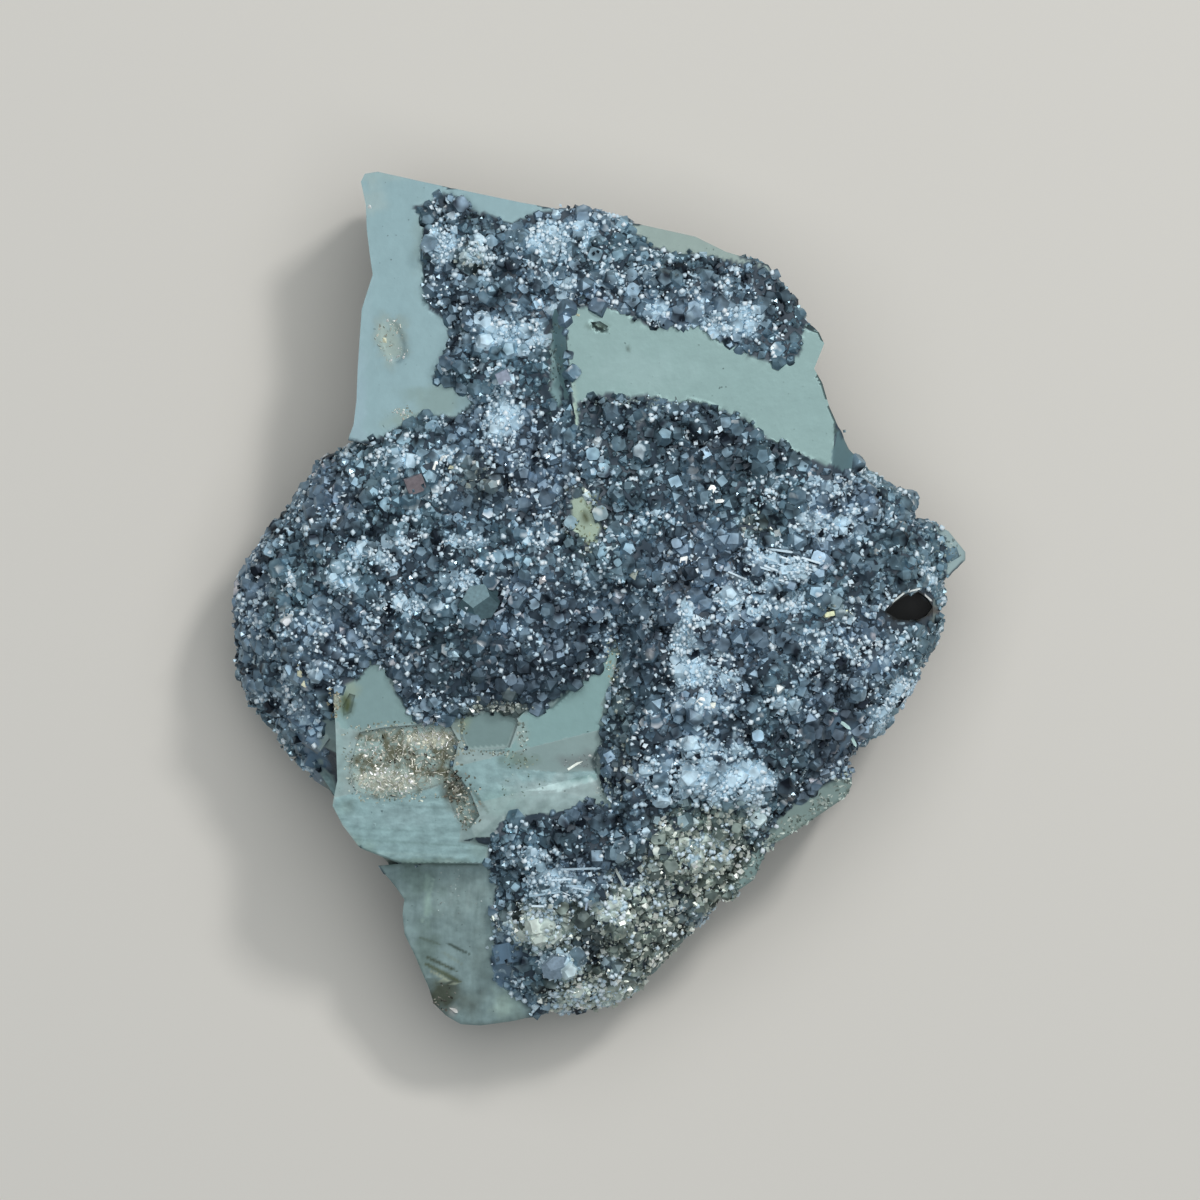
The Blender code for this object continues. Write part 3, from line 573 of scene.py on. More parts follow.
skin.normal_update()
points_xyz = np.array([vert.co for vert in skin.verts])
normals = np.array([vert.normal for vert in skin.verts])
pixels = picture_points(points_xyz)
heights = points_xyz[:, 2]
colour = np.tile(np.array(CRUST_GROUND_AND_GAP_SHADE), (len(pixels), 1))
bare = np.zeros(len(pixels))
metal = np.zeros(len(pixels))
up_facing = (normals[:, 2] > UPWARD) & (heights > 0.3 * cad_high.z)
for face in FACES.values():
    outside = distance_outside(pixels, face["outline"])
    inner = up_facing & (outside < min(DEEP_INSIDE, 0.6 * outside.min()))
    facing = np.median(normals[inner], axis=0) if inner.sum() > 3 else np.array((0, 0, 1.0))
    facing /= np.linalg.norm(facing)
    level = normals @ facing > face.get("agreement", FACE_AGREEMENT)
    if "agreement" not in face:
        level |= (outside < DEEP_INSIDE) & (normals[:, 2] > STEEPEST)
    chosen = (outside < 0) & (heights > 0.3 * cad_high.z) & level
    colour[chosen] = face["tone"]
    bare[chosen] = 1
    metal[chosen] = face.get("metal", FACE_METAL)
walls = (np.abs(normals[:, 2]) < 0.3) & (bare == 0)
print(int(bare.sum()), "points on bare faces of", len(bare))

# %% Colours and densities of the skin
CRYSTAL_WALL_REACH = 7.0
FLOOR_CLEARANCE = 2.6 * MM
RAGGED_RIM = 3.0
WALL_SWELLS = 110.0
WALL_DRIFT = 22.0
WALL_SEED = 5
SMOOTH_COLOUR = (0.15, 0.24, 0.33)
SEAM_COLOUR = (0.30, 0.40, 0.39)
TINT_SOFTNESS = 1.3
NETWORK_STRENGTH = 0.5
BROKEN_COLOUR = (0.09, 0.095, 0.06)
LOWER_CRYSTALS = [
    (345, 685), (360, 678), (370, 660), (378, 662), (388, 670), (398, 690), (408, 710), (421, 722), (450, 722),
    (462, 714), (490, 709), (519, 712), (545, 708), (560, 695), (575, 685), (590, 675), (600, 665), (618, 640),
    (619, 655), (611, 690), (605, 720), (600, 752), (604, 780), (612, 808), (585, 800), (565, 810), (520, 815),
    (500, 822), (490, 840), (486, 868), (496, 880), (492, 920), (497, 940), (490, 960), (495, 985), (522, 1000),
    (545, 1025), (460, 1040), (425, 1015), (390, 930), (372, 868), (345, 860), (315, 812), (322, 727), (332, 695),
]

steep = np.abs(normals[:, 2]) < 0.3
noise.seed_set(WALL_SEED)
drift = np.array([noise.noise_vector(Vector(spot) * WALL_SWELLS) for spot in points_xyz])[:, :2]
wandered = pixels + steep[:, None] * drift * WALL_DRIFT
from_face = face_distance(wandered)
ragged = RIM_RAGGEDNESS * (wobble_at(wandered, 0.07, 4.2) + 0.6 * wobble_at(wandered, 0.19, 9.4))
high = heights > 0.3 * cad_high.z
crystal_walls = walls & (from_face < CRYSTAL_WALL_REACH)
underside = (normals[:, 2] < -0.3) | (heights < 2 * FLOOR_CLEARANCE)
seams = (distance_outside(pixels, LOWER_CRYSTALS) < 0) & (bare == 0) & high & (normals[:, 2] > 0.6)
smooth = patch_strength(wandered, ragged, SMOOTH_PATCHES)
colour[crystal_walls] = WALL_COLOUR
colour += (np.array(SMOOTH_COLOUR) - colour) * (smooth * (bare == 0))[:, None]
colour[seams] = SEAM_COLOUR
colour[underside] = UNDERSIDE_COLOUR
sloped = crystal_walls & (normals[:, 2] > STEEPEST)
on_face = (bare == 1) | (seams | sloped) & high & ~underside
from_broken = distance_outside(pixels, FACES["broken"]["outline"])
broken = np.clip((2.0 - from_broken + 9 * wobble_at(pixels, 0.13, 3.1)) / 9, 0, 1)
speckle = np.clip(0.55 + 1.2 * wobble_at(pixels, 0.113, 5.5) + 1.3 * wobble_at(pixels, 0.263, 2.2), 0, 1)
colour += (np.array(BROKEN_COLOUR) - colour) * (broken * speckle * on_face)[:, None]
for *patch, tint in FACE_TINTS:
    inside = patch_strength(pixels[on_face], ragged[on_face], [patch], TINT_SOFTNESS)
    colour[on_face] += (np.array(tint) - colour[on_face]) * inside[:, None]
for *ends, half_width, strength, tint in SCRATCHES:
    inside = strength * scratch_strength(pixels[on_face], ends[:2], ends[2:], half_width)
    colour[on_face] += (np.array(tint) - colour[on_face]) * inside[:, None]
metal -= (metal - CRATER_METAL) * patch_strength(pixels, ragged, [(*CRATER, 1.0)]) * (bare == 1)
bare[crystal_walls | underside | seams] = 1
metal[crystal_walls | underside] = 0.4
# Painted shade: inside the cavity's outline the skin is painted near black, with no metal.
to_hollow = distance_outside(pixels, FACES["hollow"]["outline"])
colour[to_hollow < 1.0] = FACES["hollow"]["tone"]
bare[to_hollow < 1.0] = 1
metal[to_hollow < 1.0] = 0

pale = patch_strength(wandered, ragged, PALE_PATCHES)
# How strongly each point lies in the dark patches, which are partly painted shade.
dark = patch_strength(wandered, ragged, DARK_AND_SHADED_PATCHES)
glitter = patch_strength(wandered, ragged, GLITTER_PATCHES)
network = np.clip((wobble_at(wandered, 0.10, 6.6) + 0.6 * wobble_at(wandered, 0.035, 8.1)) * 3, 0, 1)
pale = np.maximum(pale, NETWORK_STRENGTH * network * (1 - 0.8 * dark))
rim = wobble_at(wandered, 0.12, 1.3) * RAGGED_RIM
crust = np.where(bare > 0, 0.0, 1.0) * (1 - 0.85 * smooth) * (from_face + rim > -3.0)
crust = np.where(underside, 0.05, crust) * (heights > FLOOR_CLEARANCE) * (to_hollow > 5.5)
broken *= (normals[:, 2] > 0.2) * high
bright = patch_strength(pixels, ragged, BRIGHT_AND_GLINT_PATCHES)
cream = patch_strength(pixels, ragged, CREAM_PATCHES) * on_face
needles = patch_strength(pixels, ragged, [(566, 882, 34, 18, 0.1), (778, 566, 32, 12, 0.3)])
print(f"crust on {crust.mean():.0%} of the points, pale on {pale.mean():.0%}")

# %% [markdown]
# ## Streaks and ledges in the faces
# Pyrite faces are rarely mirrors. The long lower face steps down in fine ledges that run across it, and the
# foot crystal has grooves along its length. Both are moved into the mesh along its normals, and the crust's
# ground is roughened in the same way, so that no smooth patch shows between its crystals.

# %% Move the skin's points
LEDGE_DEPTH = 0.006 * MM
LEDGE_PITCH = 6.0
GROOVE_DEPTH = 0.05 * MM
GROOVE_PITCH = 8.0
GROUND_DEPTH = 0.30 * MM
FACE_DEPTH = 0.020 * MM

in_streaks = (distance_outside(pixels, FACES["streaked"]["outline"]) < 0) & (bare > 0)
in_foot = (distance_outside(pixels, FACES["foot"]["outline"]) < 0) & (bare > 0)
shift = np.zeros(len(pixels))
for i, (column, row) in enumerate(pixels):
    if in_streaks[i]:
        wander = 1.8 * noise.noise(Vector((column * 0.02, row * 0.02, 2.0)))
        step = noise.noise(Vector((column * 0.02, row / LEDGE_PITCH + wander, 0.0)))
        shift[i] = LEDGE_DEPTH * math.copysign(abs(step) ** 0.5, step)
    elif in_foot[i]:
        along = row * 0.01 + 0.3 * noise.noise(Vector((column * 0.05, row * 0.02, 5.0)))
        shift[i] = GROOVE_DEPTH * noise.noise(Vector((column / GROOVE_PITCH, along, 7.0)))
    elif bare[i]:
        shift[i] = FACE_DEPTH * noise.noise(points_xyz[i] * 300)
    else:
        shift[i] = GROUND_DEPTH * noise.noise(points_xyz[i] * 900)
shift[heights < FLOOR_CLEARANCE] = 0
for vert, normal, amount in zip(skin.verts, normals, shift):
    vert.co += Vector(normal) * amount
print(f"largest shift {np.abs(shift).max() * 1000:.2f} mm")


# %% The skin as a piece of its own
def add_attribute(mesh, name, kind, values):
    """Stores one value for each of a mesh's points."""
    made = mesh.attributes.new(name, kind, "POINT")
    made.data.foreach_set("color" if kind == "FLOAT_COLOR" else "value", np.ravel(values).astype(np.float32))


skin_mesh = bpy.data.meshes.new("crystal_mass")
skin.to_mesh(skin_mesh)
skin.free()
skin_mesh.shade_smooth()
skin_mesh.set_sharp_from_angle(angle=math.radians(28))
add_attribute(skin_mesh, "paint", "FLOAT_COLOR", np.column_stack([colour, np.ones(len(colour))]))
for name, values in {
    "bare": bare, "metal": metal, "pale": pale * (bare == 0), "dark": dark, "glitter": glitter, "crust": crust,
    "pale_growth": pale * crust, "glitter_growth": glitter * crust, "broken_growth": np.maximum(broken, cream),
    "bright": bright, "needle_growth": needles * crust, "streaks": in_streaks * 1.0, "grooves": in_foot * 1.0,
    "striated": crystal_walls * 1.0,
}.items():
    add_attribute(skin_mesh, name, "FLOAT", values)
crystal_mass = bpy.data.objects.new("crystal_mass", skin_mesh)
scene.collection.objects.link(crystal_mass)
print("attributes:", [attribute.name for attribute in skin_mesh.attributes if not attribute.is_internal])

# %% [markdown]
# ## The metal of the faces
# Clean pyrite is brassy, but this stone is photographed as a cool steel green, so the paint of each face sets
# its colour and the shader is nearly all metal. A matt metal face shows a soft, even tone. Clouds of slightly
# rougher and darker metal, pin-prick pits and streaks break it up.

# %% Face metal
def attribute(tree, name, output="Fac"):
    """A named attribute of the mesh, as a wire."""
    return node(tree, "ShaderNodeAttribute", {"attribute_name": name}, output=output)


def new_finish(name):
    """A material's tree, its Principled shader and its own object coordinates."""
    material = bpy.data.materials.new(name)
    material.use_nodes = True
    tree = material.node_tree
    where = node(tree, "ShaderNodeTexCoord", output="Object")
    return material, tree, tree.nodes["Principled BSDF"], where


def clouds(tree, where, scale, detail=2.0, stretch=(1, 1, 1)):
    """Noise from 0 to 1 with this many swells to a metre, stretched along an axis if asked."""
    stretched = node(tree, "ShaderNodeMapping", inputs={"Vector": where, "Scale": stretch})
    settings = {"Vector": stretched, "Scale": scale, "Detail": detail}
    return node(tree, "ShaderNodeTexNoise", inputs=settings)


def mixed(tree, share, first, second, blend="MIX"):
    """Two colours mixed by a share, or multiplied."""
    settings = {"data_type": "RGBA", "blend_type": blend, "clamp_factor": True}
    return node(tree, "ShaderNodeMix", settings, {"Factor": share, "A": first, "B": second})


def steepened(value, middle, gain):
    """A soft threshold."""
    return ((value - middle) * gain + 0.5).kept_to_unit()


face_metal, tree, shader, where = new_finish("face_metal")
paint = attribute(tree, "paint", "Color")
bareness = attribute(tree, "bare")
blotches = clouds(tree, where, 140, 4.0)
mottle = clouds(tree, where, 700, 3.0) - 0.5
specks = clouds(tree, where, 1500, 1.0)
streak_lines = clouds(tree, where, 420, 3.0, (0.34, 2.6, 1)) - 0.5
groove_lines = clouds(tree, where, 420, 4.0, (3.0, 0.25, 1)) - 0.5
lines = streak_lines * attribute(tree, "streaks") + groove_lines * attribute(tree, "grooves") * 2.2
bands = clouds(tree, where, 260, 4.0, (0.12, 0.12, 4.0)) - 0.5
striations = bands * attribute(tree, "striated")
marked = attribute(tree, "streaks") + attribute(tree, "grooves")
shading = blotches * 0.26 + lines * 0.2 + striations * 0.5 + mottle * (marked * 0.7 + 0.14) + 0.87
grey = node(tree, "ShaderNodeCombineColor", inputs={"Red": shading, "Green": shading, "Blue": shading})
tinted = mixed(tree, 1.0, paint, grey, "MULTIPLY")
pits = steepened(specks, 0.79, 14) * bareness
pitted = mixed(tree, pits * 0.6, tinted, (0.03, 0.04, 0.035, 1))
frost = steepened(attribute(tree, "pale") + clouds(tree, where, 900, 2.0) * 0.5, 0.75, 5)
connect(tree, shader.inputs["Base Color"], mixed(tree, frost, pitted, (0.45, 0.60, 0.68, 1)))
connect(tree, shader.inputs["Metallic"], attribute(tree, "metal"))
connect(tree, shader.inputs["Roughness"], blotches * 0.16 + pits * 0.2 + 0.34)
relief = specks * 0.25 + clouds(tree, where, 420, 3.0) * 0.6 + lines * 0.16 + striations * 1.2 + mottle * marked * 0.8
bump = node(tree, "ShaderNodeBump", inputs={"Height": relief, "Strength": 0.35, "Distance": 0.00012})
connect(tree, shader.inputs["Normal"], bump)
shader.inputs["Specular IOR Level"].default_value = 0.25
skin_mesh.materials.clear()
skin_mesh.materials.append(face_metal)
print(len(tree.nodes), "nodes in", face_metal.name)

# %% [markdown]
# ## The crust's crystals
# Up close the crust is thousands of crystals: blocks, eight-faced crystals and the twelve-faced shape that
# pyrite is known for. One of each is made as the hull of its corner points. Each flat side gets a number of
# its own, so that a crystal's sides differ in tone as they do in the real stone, where some are clean and
# some are dull.


# %% Crystal shapes
def signs(*sizes):
    """Every corner that these sizes give with either sign."""
    corners = [()]
    for size in sizes:
        corners = [(*corner, part) for corner in corners for part in ({size, -size} if size else {0})]
    return corners


def turned_round(corners):
    """The same corners with their axes changed round, x to y to z."""
    return [corner[shift:] + corner[:shift] for corner in corners for shift in range(3)]


def hexagon(radius, height):
    """Six corners of a hexagon at a height."""
    return [(radius * math.cos(i * math.pi / 3), radius * math.sin(i * math.pi / 3), height) for i in range(6)]


PYRITOHEDRON_SLOPE = 0.5
SHAPES = {
    "block": signs(1, 1, 1),
    "cut_block": turned_round(signs(1, 1, 0.55)),
    "eight_faces": turned_round(signs(1.35, 0, 0)),
    "fourteen_faces": turned_round(signs(1.1, 1.1, 0)),
    "twelve_faces": signs(0.92, 0.92, 0.92)
    + turned_round(signs(0, 0.92 * (1 + PYRITOHEDRON_SLOPE), 0.92 * (1 - PYRITOHEDRON_SLOPE**2))),
    "prism": hexagon(0.62, -1) + hexagon(0.62, 0.5) + [(0, 0, 1.2)],
    "needle": [*signs(0.09, 0.09, 1.0), (0, 0, 1.15)],
    "lump": [
        (-0.9, -0.3, 0.2), (-0.5, 0.8, -0.2), (0.3, 0.9, 0.3), (0.95, 0.2, -0.1), (0.5, -0.8, 0.1),
        (-0.4, -0.8, -0.3), (0.1, 0.1, 0.9), (-0.2, 0.2, -0.9), (0.7, 0.4, 0.55),
    ],
    "splinter": [(-1, -0.4, -0.1), (-0.3, 0.7, 0.1), (0.8, 0.35, -0.15), (0.5, -0.7, 0.1), (0, 0.1, 0.5)],
    "flake": [*signs(0.9, 0.6, 0.1), (1.3, 0, 0)],
}


def crystal_shape(name, corners):
    """A closed crystal whose flat sides each have a number of their own, from 0 to 1."""
    mesh = bmesh.new()
    for corner in corners:
        mesh.verts.new(corner)
    bmesh.ops.convex_hull(mesh, input=mesh.verts)
    bmesh.ops.triangulate(mesh, faces=mesh.faces)
    bmesh.ops.recalc_face_normals(mesh, faces=mesh.faces)
    mesh.normal_update()
    side = mesh.faces.layers.float.new("side")
    for face in mesh.faces:
        face[side] = random.Random(str([round(part, 1) + 0.0 for part in face.normal])).random()
    data = bpy.data.meshes.new(name)
    mesh.to_mesh(data)
    mesh.free()
    return bpy.data.objects.new(name, data)


shapes = {name: crystal_shape(name, corners) for name, corners in SHAPES.items()}
shapes["lump"].data.shade_smooth()
print({name: len(shape.data.polygons) for name, shape in shapes.items()})

# %% [markdown]
# ## Growing crystals with Geometry Nodes
# Placing thousands of crystals by hand is hopeless and a particle system would be lost in the export, so a
# Geometry Nodes tree does it. It strews points over the skin, denser where an attribute says so, never closer
# than a spacing. Each point gets a size, a turn and a tone, then a crystal sunk to its waist. The tree ends in
# real geometry with its material set, and that result is kept as a plain mesh.

# %% Growth tree
INPUTS = {
    "Where": ("String", "crust"), "Spacing": ("Float", 1.5 * MM), "Density": ("Float", 3e6),
    "Smallest": ("Float", 0.4 * MM), "Largest": ("Float", 1.0 * MM), "Size bias": ("Float", 1.5),
    "Sunk": ("Float", 0.2), "Least turn": ("Vector", (-math.pi,) * 3), "Most turn": ("Vector", (math.pi,) * 3),
    "Seed": ("Int", 1), "Shapes": ("Collection", None), "Finish": ("Material", None),
}


def growth_tree():
    """The tree that strews crystals over a surface."""
    tree = bpy.data.node_groups.new("growth", "GeometryNodeTree")
    tree.interface.new_socket("Surface", in_out="INPUT", socket_type="NodeSocketGeometry")
    for name, (kind, value) in INPUTS.items():
        socket = tree.interface.new_socket(name, in_out="INPUT", socket_type="NodeSocket" + kind)
        if value is not None:
            socket.default_value = value
    tree.interface.new_socket("Crystals", in_out="OUTPUT", socket_type="NodeSocketGeometry")
    given = tree.nodes.new("NodeGroupInput")
    get = {name: Wire(tree, given.outputs[name]) for name in ["Surface", *INPUTS]}
    density = node(tree, "GeometryNodeInputNamedAttribute", {"data_type": "FLOAT"}, {"Name": get["Where"]})
    strew_settings = {
        "Mesh": get["Surface"], "Distance Min": get["Spacing"], "Density Max": get["Density"],
        "Density Factor": density, "Seed": get["Seed"],
    }
    points = node(tree, "GeometryNodeDistributePointsOnFaces", {"distribute_method": "POISSON"}, strew_settings)
    normal = Wire(tree, points.socket.node.outputs["Normal"])
    chance = node(tree, "FunctionNodeRandomValue", {"data_type": "FLOAT"}, {"Seed": get["Seed"] + 1})
    size = chance ** get["Size bias"] * (get["Largest"] - get["Smallest"]) + get["Smallest"]
    sink = {"Vector": normal, "Scale": size * get["Sunk"] * -1}
    depth = node(tree, "ShaderNodeVectorMath", {"operation": "SCALE"}, sink)
    sunk = node(tree, "GeometryNodeSetPosition", inputs={"Geometry": points, "Offset": depth})
    tone = node(tree, "FunctionNodeRandomValue", {"data_type": "FLOAT"}, {"Seed": get["Seed"] + 2})
    store = {"Geometry": sunk, "Name": "tone", "Value": tone}
    toned = node(tree, "GeometryNodeStoreNamedAttribute", {"data_type": "FLOAT", "domain": "POINT"}, store)
    turns = {"Min": get["Least turn"], "Max": get["Most turn"], "Seed": get["Seed"] + 3}
    turn = node(tree, "FunctionNodeRandomValue", {"data_type": "FLOAT_VECTOR"}, turns)
    info = {"Collection": get["Shapes"], "Separate Children": True, "Reset Children": True}
    kinds = node(tree, "GeometryNodeCollectionInfo", inputs=info)
    grow = {"Points": toned, "Instance": kinds, "Pick Instance": True, "Rotation": turn, "Scale": size}
    grown = node(tree, "GeometryNodeInstanceOnPoints", inputs=grow)
    real = node(tree, "GeometryNodeRealizeInstances", inputs={"Geometry": grown})
    finish = {"Geometry": real, "Material": get["Finish"]}
    done = node(tree, "GeometryNodeSetMaterial", inputs=finish)
    result = tree.nodes.new("NodeGroupOutput")
    connect(tree, result.inputs["Crystals"], done)
    return tree


growth = growth_tree()


def grown(name, kinds, **values):
    """Grows crystals of some kinds over the skin and keeps them as one plain mesh."""
    collection = bpy.data.collections.new(name + "_shapes")
    scene.collection.children.link(collection)
    for kind in kinds:
        collection.objects.link(shapes[kind])
    host = bpy.data.objects.new(name + "_host", skin_mesh)
    scene.collection.objects.link(host)
    modifier = host.modifiers.new("growth", "NODES")
    modifier.node_group = growth
    values["Shapes"] = collection
    for socket in growth.interface.items_tree:
        if socket.in_out == "INPUT" and socket.name in values:
            modifier[socket.identifier] = values[socket.name]
    graph = bpy.context.evaluated_depsgraph_get()
    result = host.evaluated_get(graph)
    mesh = bpy.data.meshes.new_from_object(result, preserve_all_data_layers=True, depsgraph=graph)
    host.modifiers.clear()
    bpy.data.objects.remove(host)
    for kind in kinds:
        collection.objects.unlink(shapes[kind])
    bpy.data.collections.remove(collection)
    mesh.name = name
    mesh.materials.clear()
    mesh.materials.append(values["Finish"])
    mesh.polygons.foreach_set("material_index", [0] * len(mesh.polygons))
    piece = bpy.data.objects.new(name, mesh)
    scene.collection.objects.link(piece)
    print(name, len(mesh.polygons), "faces,", round(min(v.co.z for v in mesh.vertices) * 1000, 2), "mm lowest")
    return piece


# %% [markdown]
# ## Finishes of the crystals
# The crust's crystals are a darker, bluer metal than the faces. The tone of each crystal and the number of
# each side pick a colour between near black and pale slate, and a few sides are clean enough to flash. The
# pale grains are a light mineral grown between them, with no metal in it.

# %% Crystal finishes
def crystal_finish(name, brightest, dullest, shine, reserve):
    """Dark metal for crystals that turn pale or green where the skin says so, less readily with more reserve."""
    material, tree, shader, where = new_finish(name)
    tone = attribute(tree, "tone")
    side = attribute(tree, "side")
    wander = clouds(tree, where, 75, 2.0) - 0.5
    clumps = clouds(tree, where, 380, 1.5) - 0.5
    spread = tone * 0.45 + side * 0.2 + wander * 0.5 + clumps * 1.3
    paleness = steepened(attribute(tree, "pale") + spread, reserve, 3.5)
    light = tone * 0.45 + side * 0.16 + wander * 0.7 + clumps * 1.7 + 0.12
    stops = [
        (0, (0.016, 0.024, 0.036, 1)), (0.45, (0.062, 0.106, 0.150, 1)), (0.75, (0.17, 0.265, 0.34, 1)),
        (1, brightest),
    ]
    slate = node(tree, "ShaderNodeValToRGB", {"stops": stops}, {"Fac": light})
    hue = steepened(clouds(tree, where, 55, 2.0), 0.5, 5)
    slate = mixed(tree, 0.8, slate, mixed(tree, hue, (0.95, 1.02, 1.0, 1), (1.04, 0.98, 1.03, 1)), "MULTIPLY")
    olive = mixed(tree, light, (0.05, 0.065, 0.05, 1), (0.50, 0.58, 0.48, 1))
    greener = mixed(tree, attribute(tree, "glitter") * 0.8, slate, olive)
    # Darkens crystals towards near black in the dark patches, which are partly painted shade.
    shaded = mixed(tree, attribute(tree, "dark") * 0.62, greener, (0.012, 0.016, 0.026, 1))
    powder = (tone * 0.6 + side * 0.2 + clumps * 0.8 + 0.1).kept_to_unit()
    chalk = mixed(tree, powder, (0.36, 0.53, 0.64, 1), (0.70, 0.88, 0.98, 1))
    cream = mixed(tree, powder, (0.36, 0.43, 0.37, 1), (0.78, 0.84, 0.72, 1))
    pale = mixed(tree, attribute(tree, "glitter") * 0.8, chalk, cream)
    dirt = clouds(tree, where, 900, 1.0) * 1.1 + 0.45
    dirt = node(tree, "ShaderNodeCombineColor", inputs={"Red": dirt, "Green": dirt, "Blue": dirt})
    dirty = mixed(tree, 1.0, mixed(tree, paleness, shaded, pale), dirt, "MULTIPLY")
    connect(tree, shader.inputs["Base Color"], dirty)
    connect(tree, shader.inputs["Metallic"], 0.75 - paleness * 0.6)
    connect(tree, shader.inputs["Roughness"], (1 - side) * (dullest - shine) + paleness * 0.25 + shine)
    height = clouds(tree, where, 1300, 1.0)
    grain = node(tree, "ShaderNodeBump", inputs={"Height": height, "Strength": 0.3, "Distance": 0.00008})
    connect(tree, shader.inputs["Normal"], grain)
    return material


def grain_finish(name, darkest, middle, brightest, metallic, roughness, clumping):
    """A finish for small grains whose sides run from a dark colour to a bright one."""
    material, tree, shader, where = new_finish(name)
    # Grains are lifted towards their brightest colour in the bright patches, partly painted glints.
    light = attribute(tree, "tone") * 0.5 + attribute(tree, "side") * 0.4 + attribute(tree, "bright") * 0.35
    light = light + (clouds(tree, where, 430, 2.0) - 0.5) * clumping
    stops = [(0, (*darkest, 1)), (0.5, (*middle, 1)), (1, (*brightest, 1))]
    connect(tree, shader.inputs["Base Color"], node(tree, "ShaderNodeValToRGB", {"stops": stops}, {"Fac": light}))
    shader.inputs["Metallic"].default_value = metallic
    connect(tree, shader.inputs["Roughness"], roughness - attribute(tree, "side") * 0.2)
    return material


large_crystals = crystal_finish("large_crystal_metal", (0.28, 0.40, 0.48, 1), 0.62, 0.46, 1.08)
small_crystals = crystal_finish("small_crystal_metal", (0.28, 0.40, 0.48, 1), 0.62, 0.48, 0.84)
bright_crystals = crystal_finish("bright_crystal_metal", (0.45, 0.60, 0.68, 1), 0.40, 0.14, 1.0)
pale_mineral = grain_finish(
    "pale_mineral", (0.46, 0.64, 0.76), (0.63, 0.82, 0.93), (0.80, 0.92, 0.98), 0.05, 0.66, 0.3,
)
glitter_metal = grain_finish(
    "glitter_metal", (0.14, 0.18, 0.15), (0.38, 0.44, 0.38), (0.80, 0.85, 0.76), 0.45, 0.46, 0.6,
)
# The broken grains' near-white brightest colour is partly painted glint on the pale brass of broken pyrite.
broken_metal = grain_finish(
    "broken_metal", (0.035, 0.04, 0.025), (0.21, 0.24, 0.18), (0.98, 0.96, 0.82), 0.40, 0.48, 1.5,
)
print("finishes:", [material.name for material in bpy.data.materials])

# %% Grow the crust
grown_pieces = [
    grown(
        "crust_crystals", ["cut_block", "twelve_faces", "fourteen_faces"], Finish=large_crystals,
        Spacing=1.5 * MM, Smallest=0.5 * MM, Largest=1.05 * MM, Sunk=0.3, Seed=11,
    ),
    grown(
        "crust_grains", ["lump", "eight_faces"], Finish=small_crystals,
        Spacing=0.95 * MM, Smallest=0.32 * MM, Largest=0.68 * MM, Sunk=-0.25, Density=8e6, Seed=23,
    ),
    grown(
        "crust_specks", ["eight_faces"], Finish=bright_crystals,
        Spacing=1.0 * MM, Smallest=0.14 * MM, Largest=0.34 * MM, Sunk=-2.2, Density=4e6, Seed=29,
    ),
    grown(
        "pale_grains", ["lump", "splinter"], Finish=pale_mineral, Where="pale_growth",
        Spacing=0.42 * MM, Smallest=0.22 * MM, Largest=0.56 * MM, Sunk=-1.2, Density=2.2e7, Seed=31,
    ),
    grown(
        "glitter_flakes", ["flake", "eight_faces"], Finish=glitter_metal, Where="glitter_growth",
        Spacing=0.6 * MM, Smallest=0.14 * MM, Largest=0.46 * MM, Sunk=-1.6, Density=8e6, Seed=41,
    ),
    grown(
        "broken_grains", ["splinter", "flake"], Finish=broken_metal, Where="broken_growth",
        Spacing=0.34 * MM, Smallest=0.14 * MM, Largest=0.46 * MM, Sunk=0.1, Density=3e7, Seed=53,
    ),
    grown(
        "pale_needles", ["needle"], Finish=pale_mineral, Where="needle_growth",
        Spacing=0.75 * MM, Smallest=0.7 * MM, Largest=1.8 * MM, Sunk=-0.5, Density=8e6, Seed=61,
        **{"Least turn": (0, math.radians(76), -0.45), "Most turn": (0, math.radians(100), 0.35)},
    ),
]

# %% [markdown]
# ## Crystals placed one by one
# Some crystals catch the eye on their own: a white flash at the top of the crust, a pink block, a large slate
# crystal, a sliver on the lower face. The white, cream and icy chips are painted glints, pale crystals set where
# facets flash in the light. Each is a row in a table with its picture point, half sizes and turn.
# A ray dropped from above finds the surface at that point, so a crystal sits on whatever has grown there.

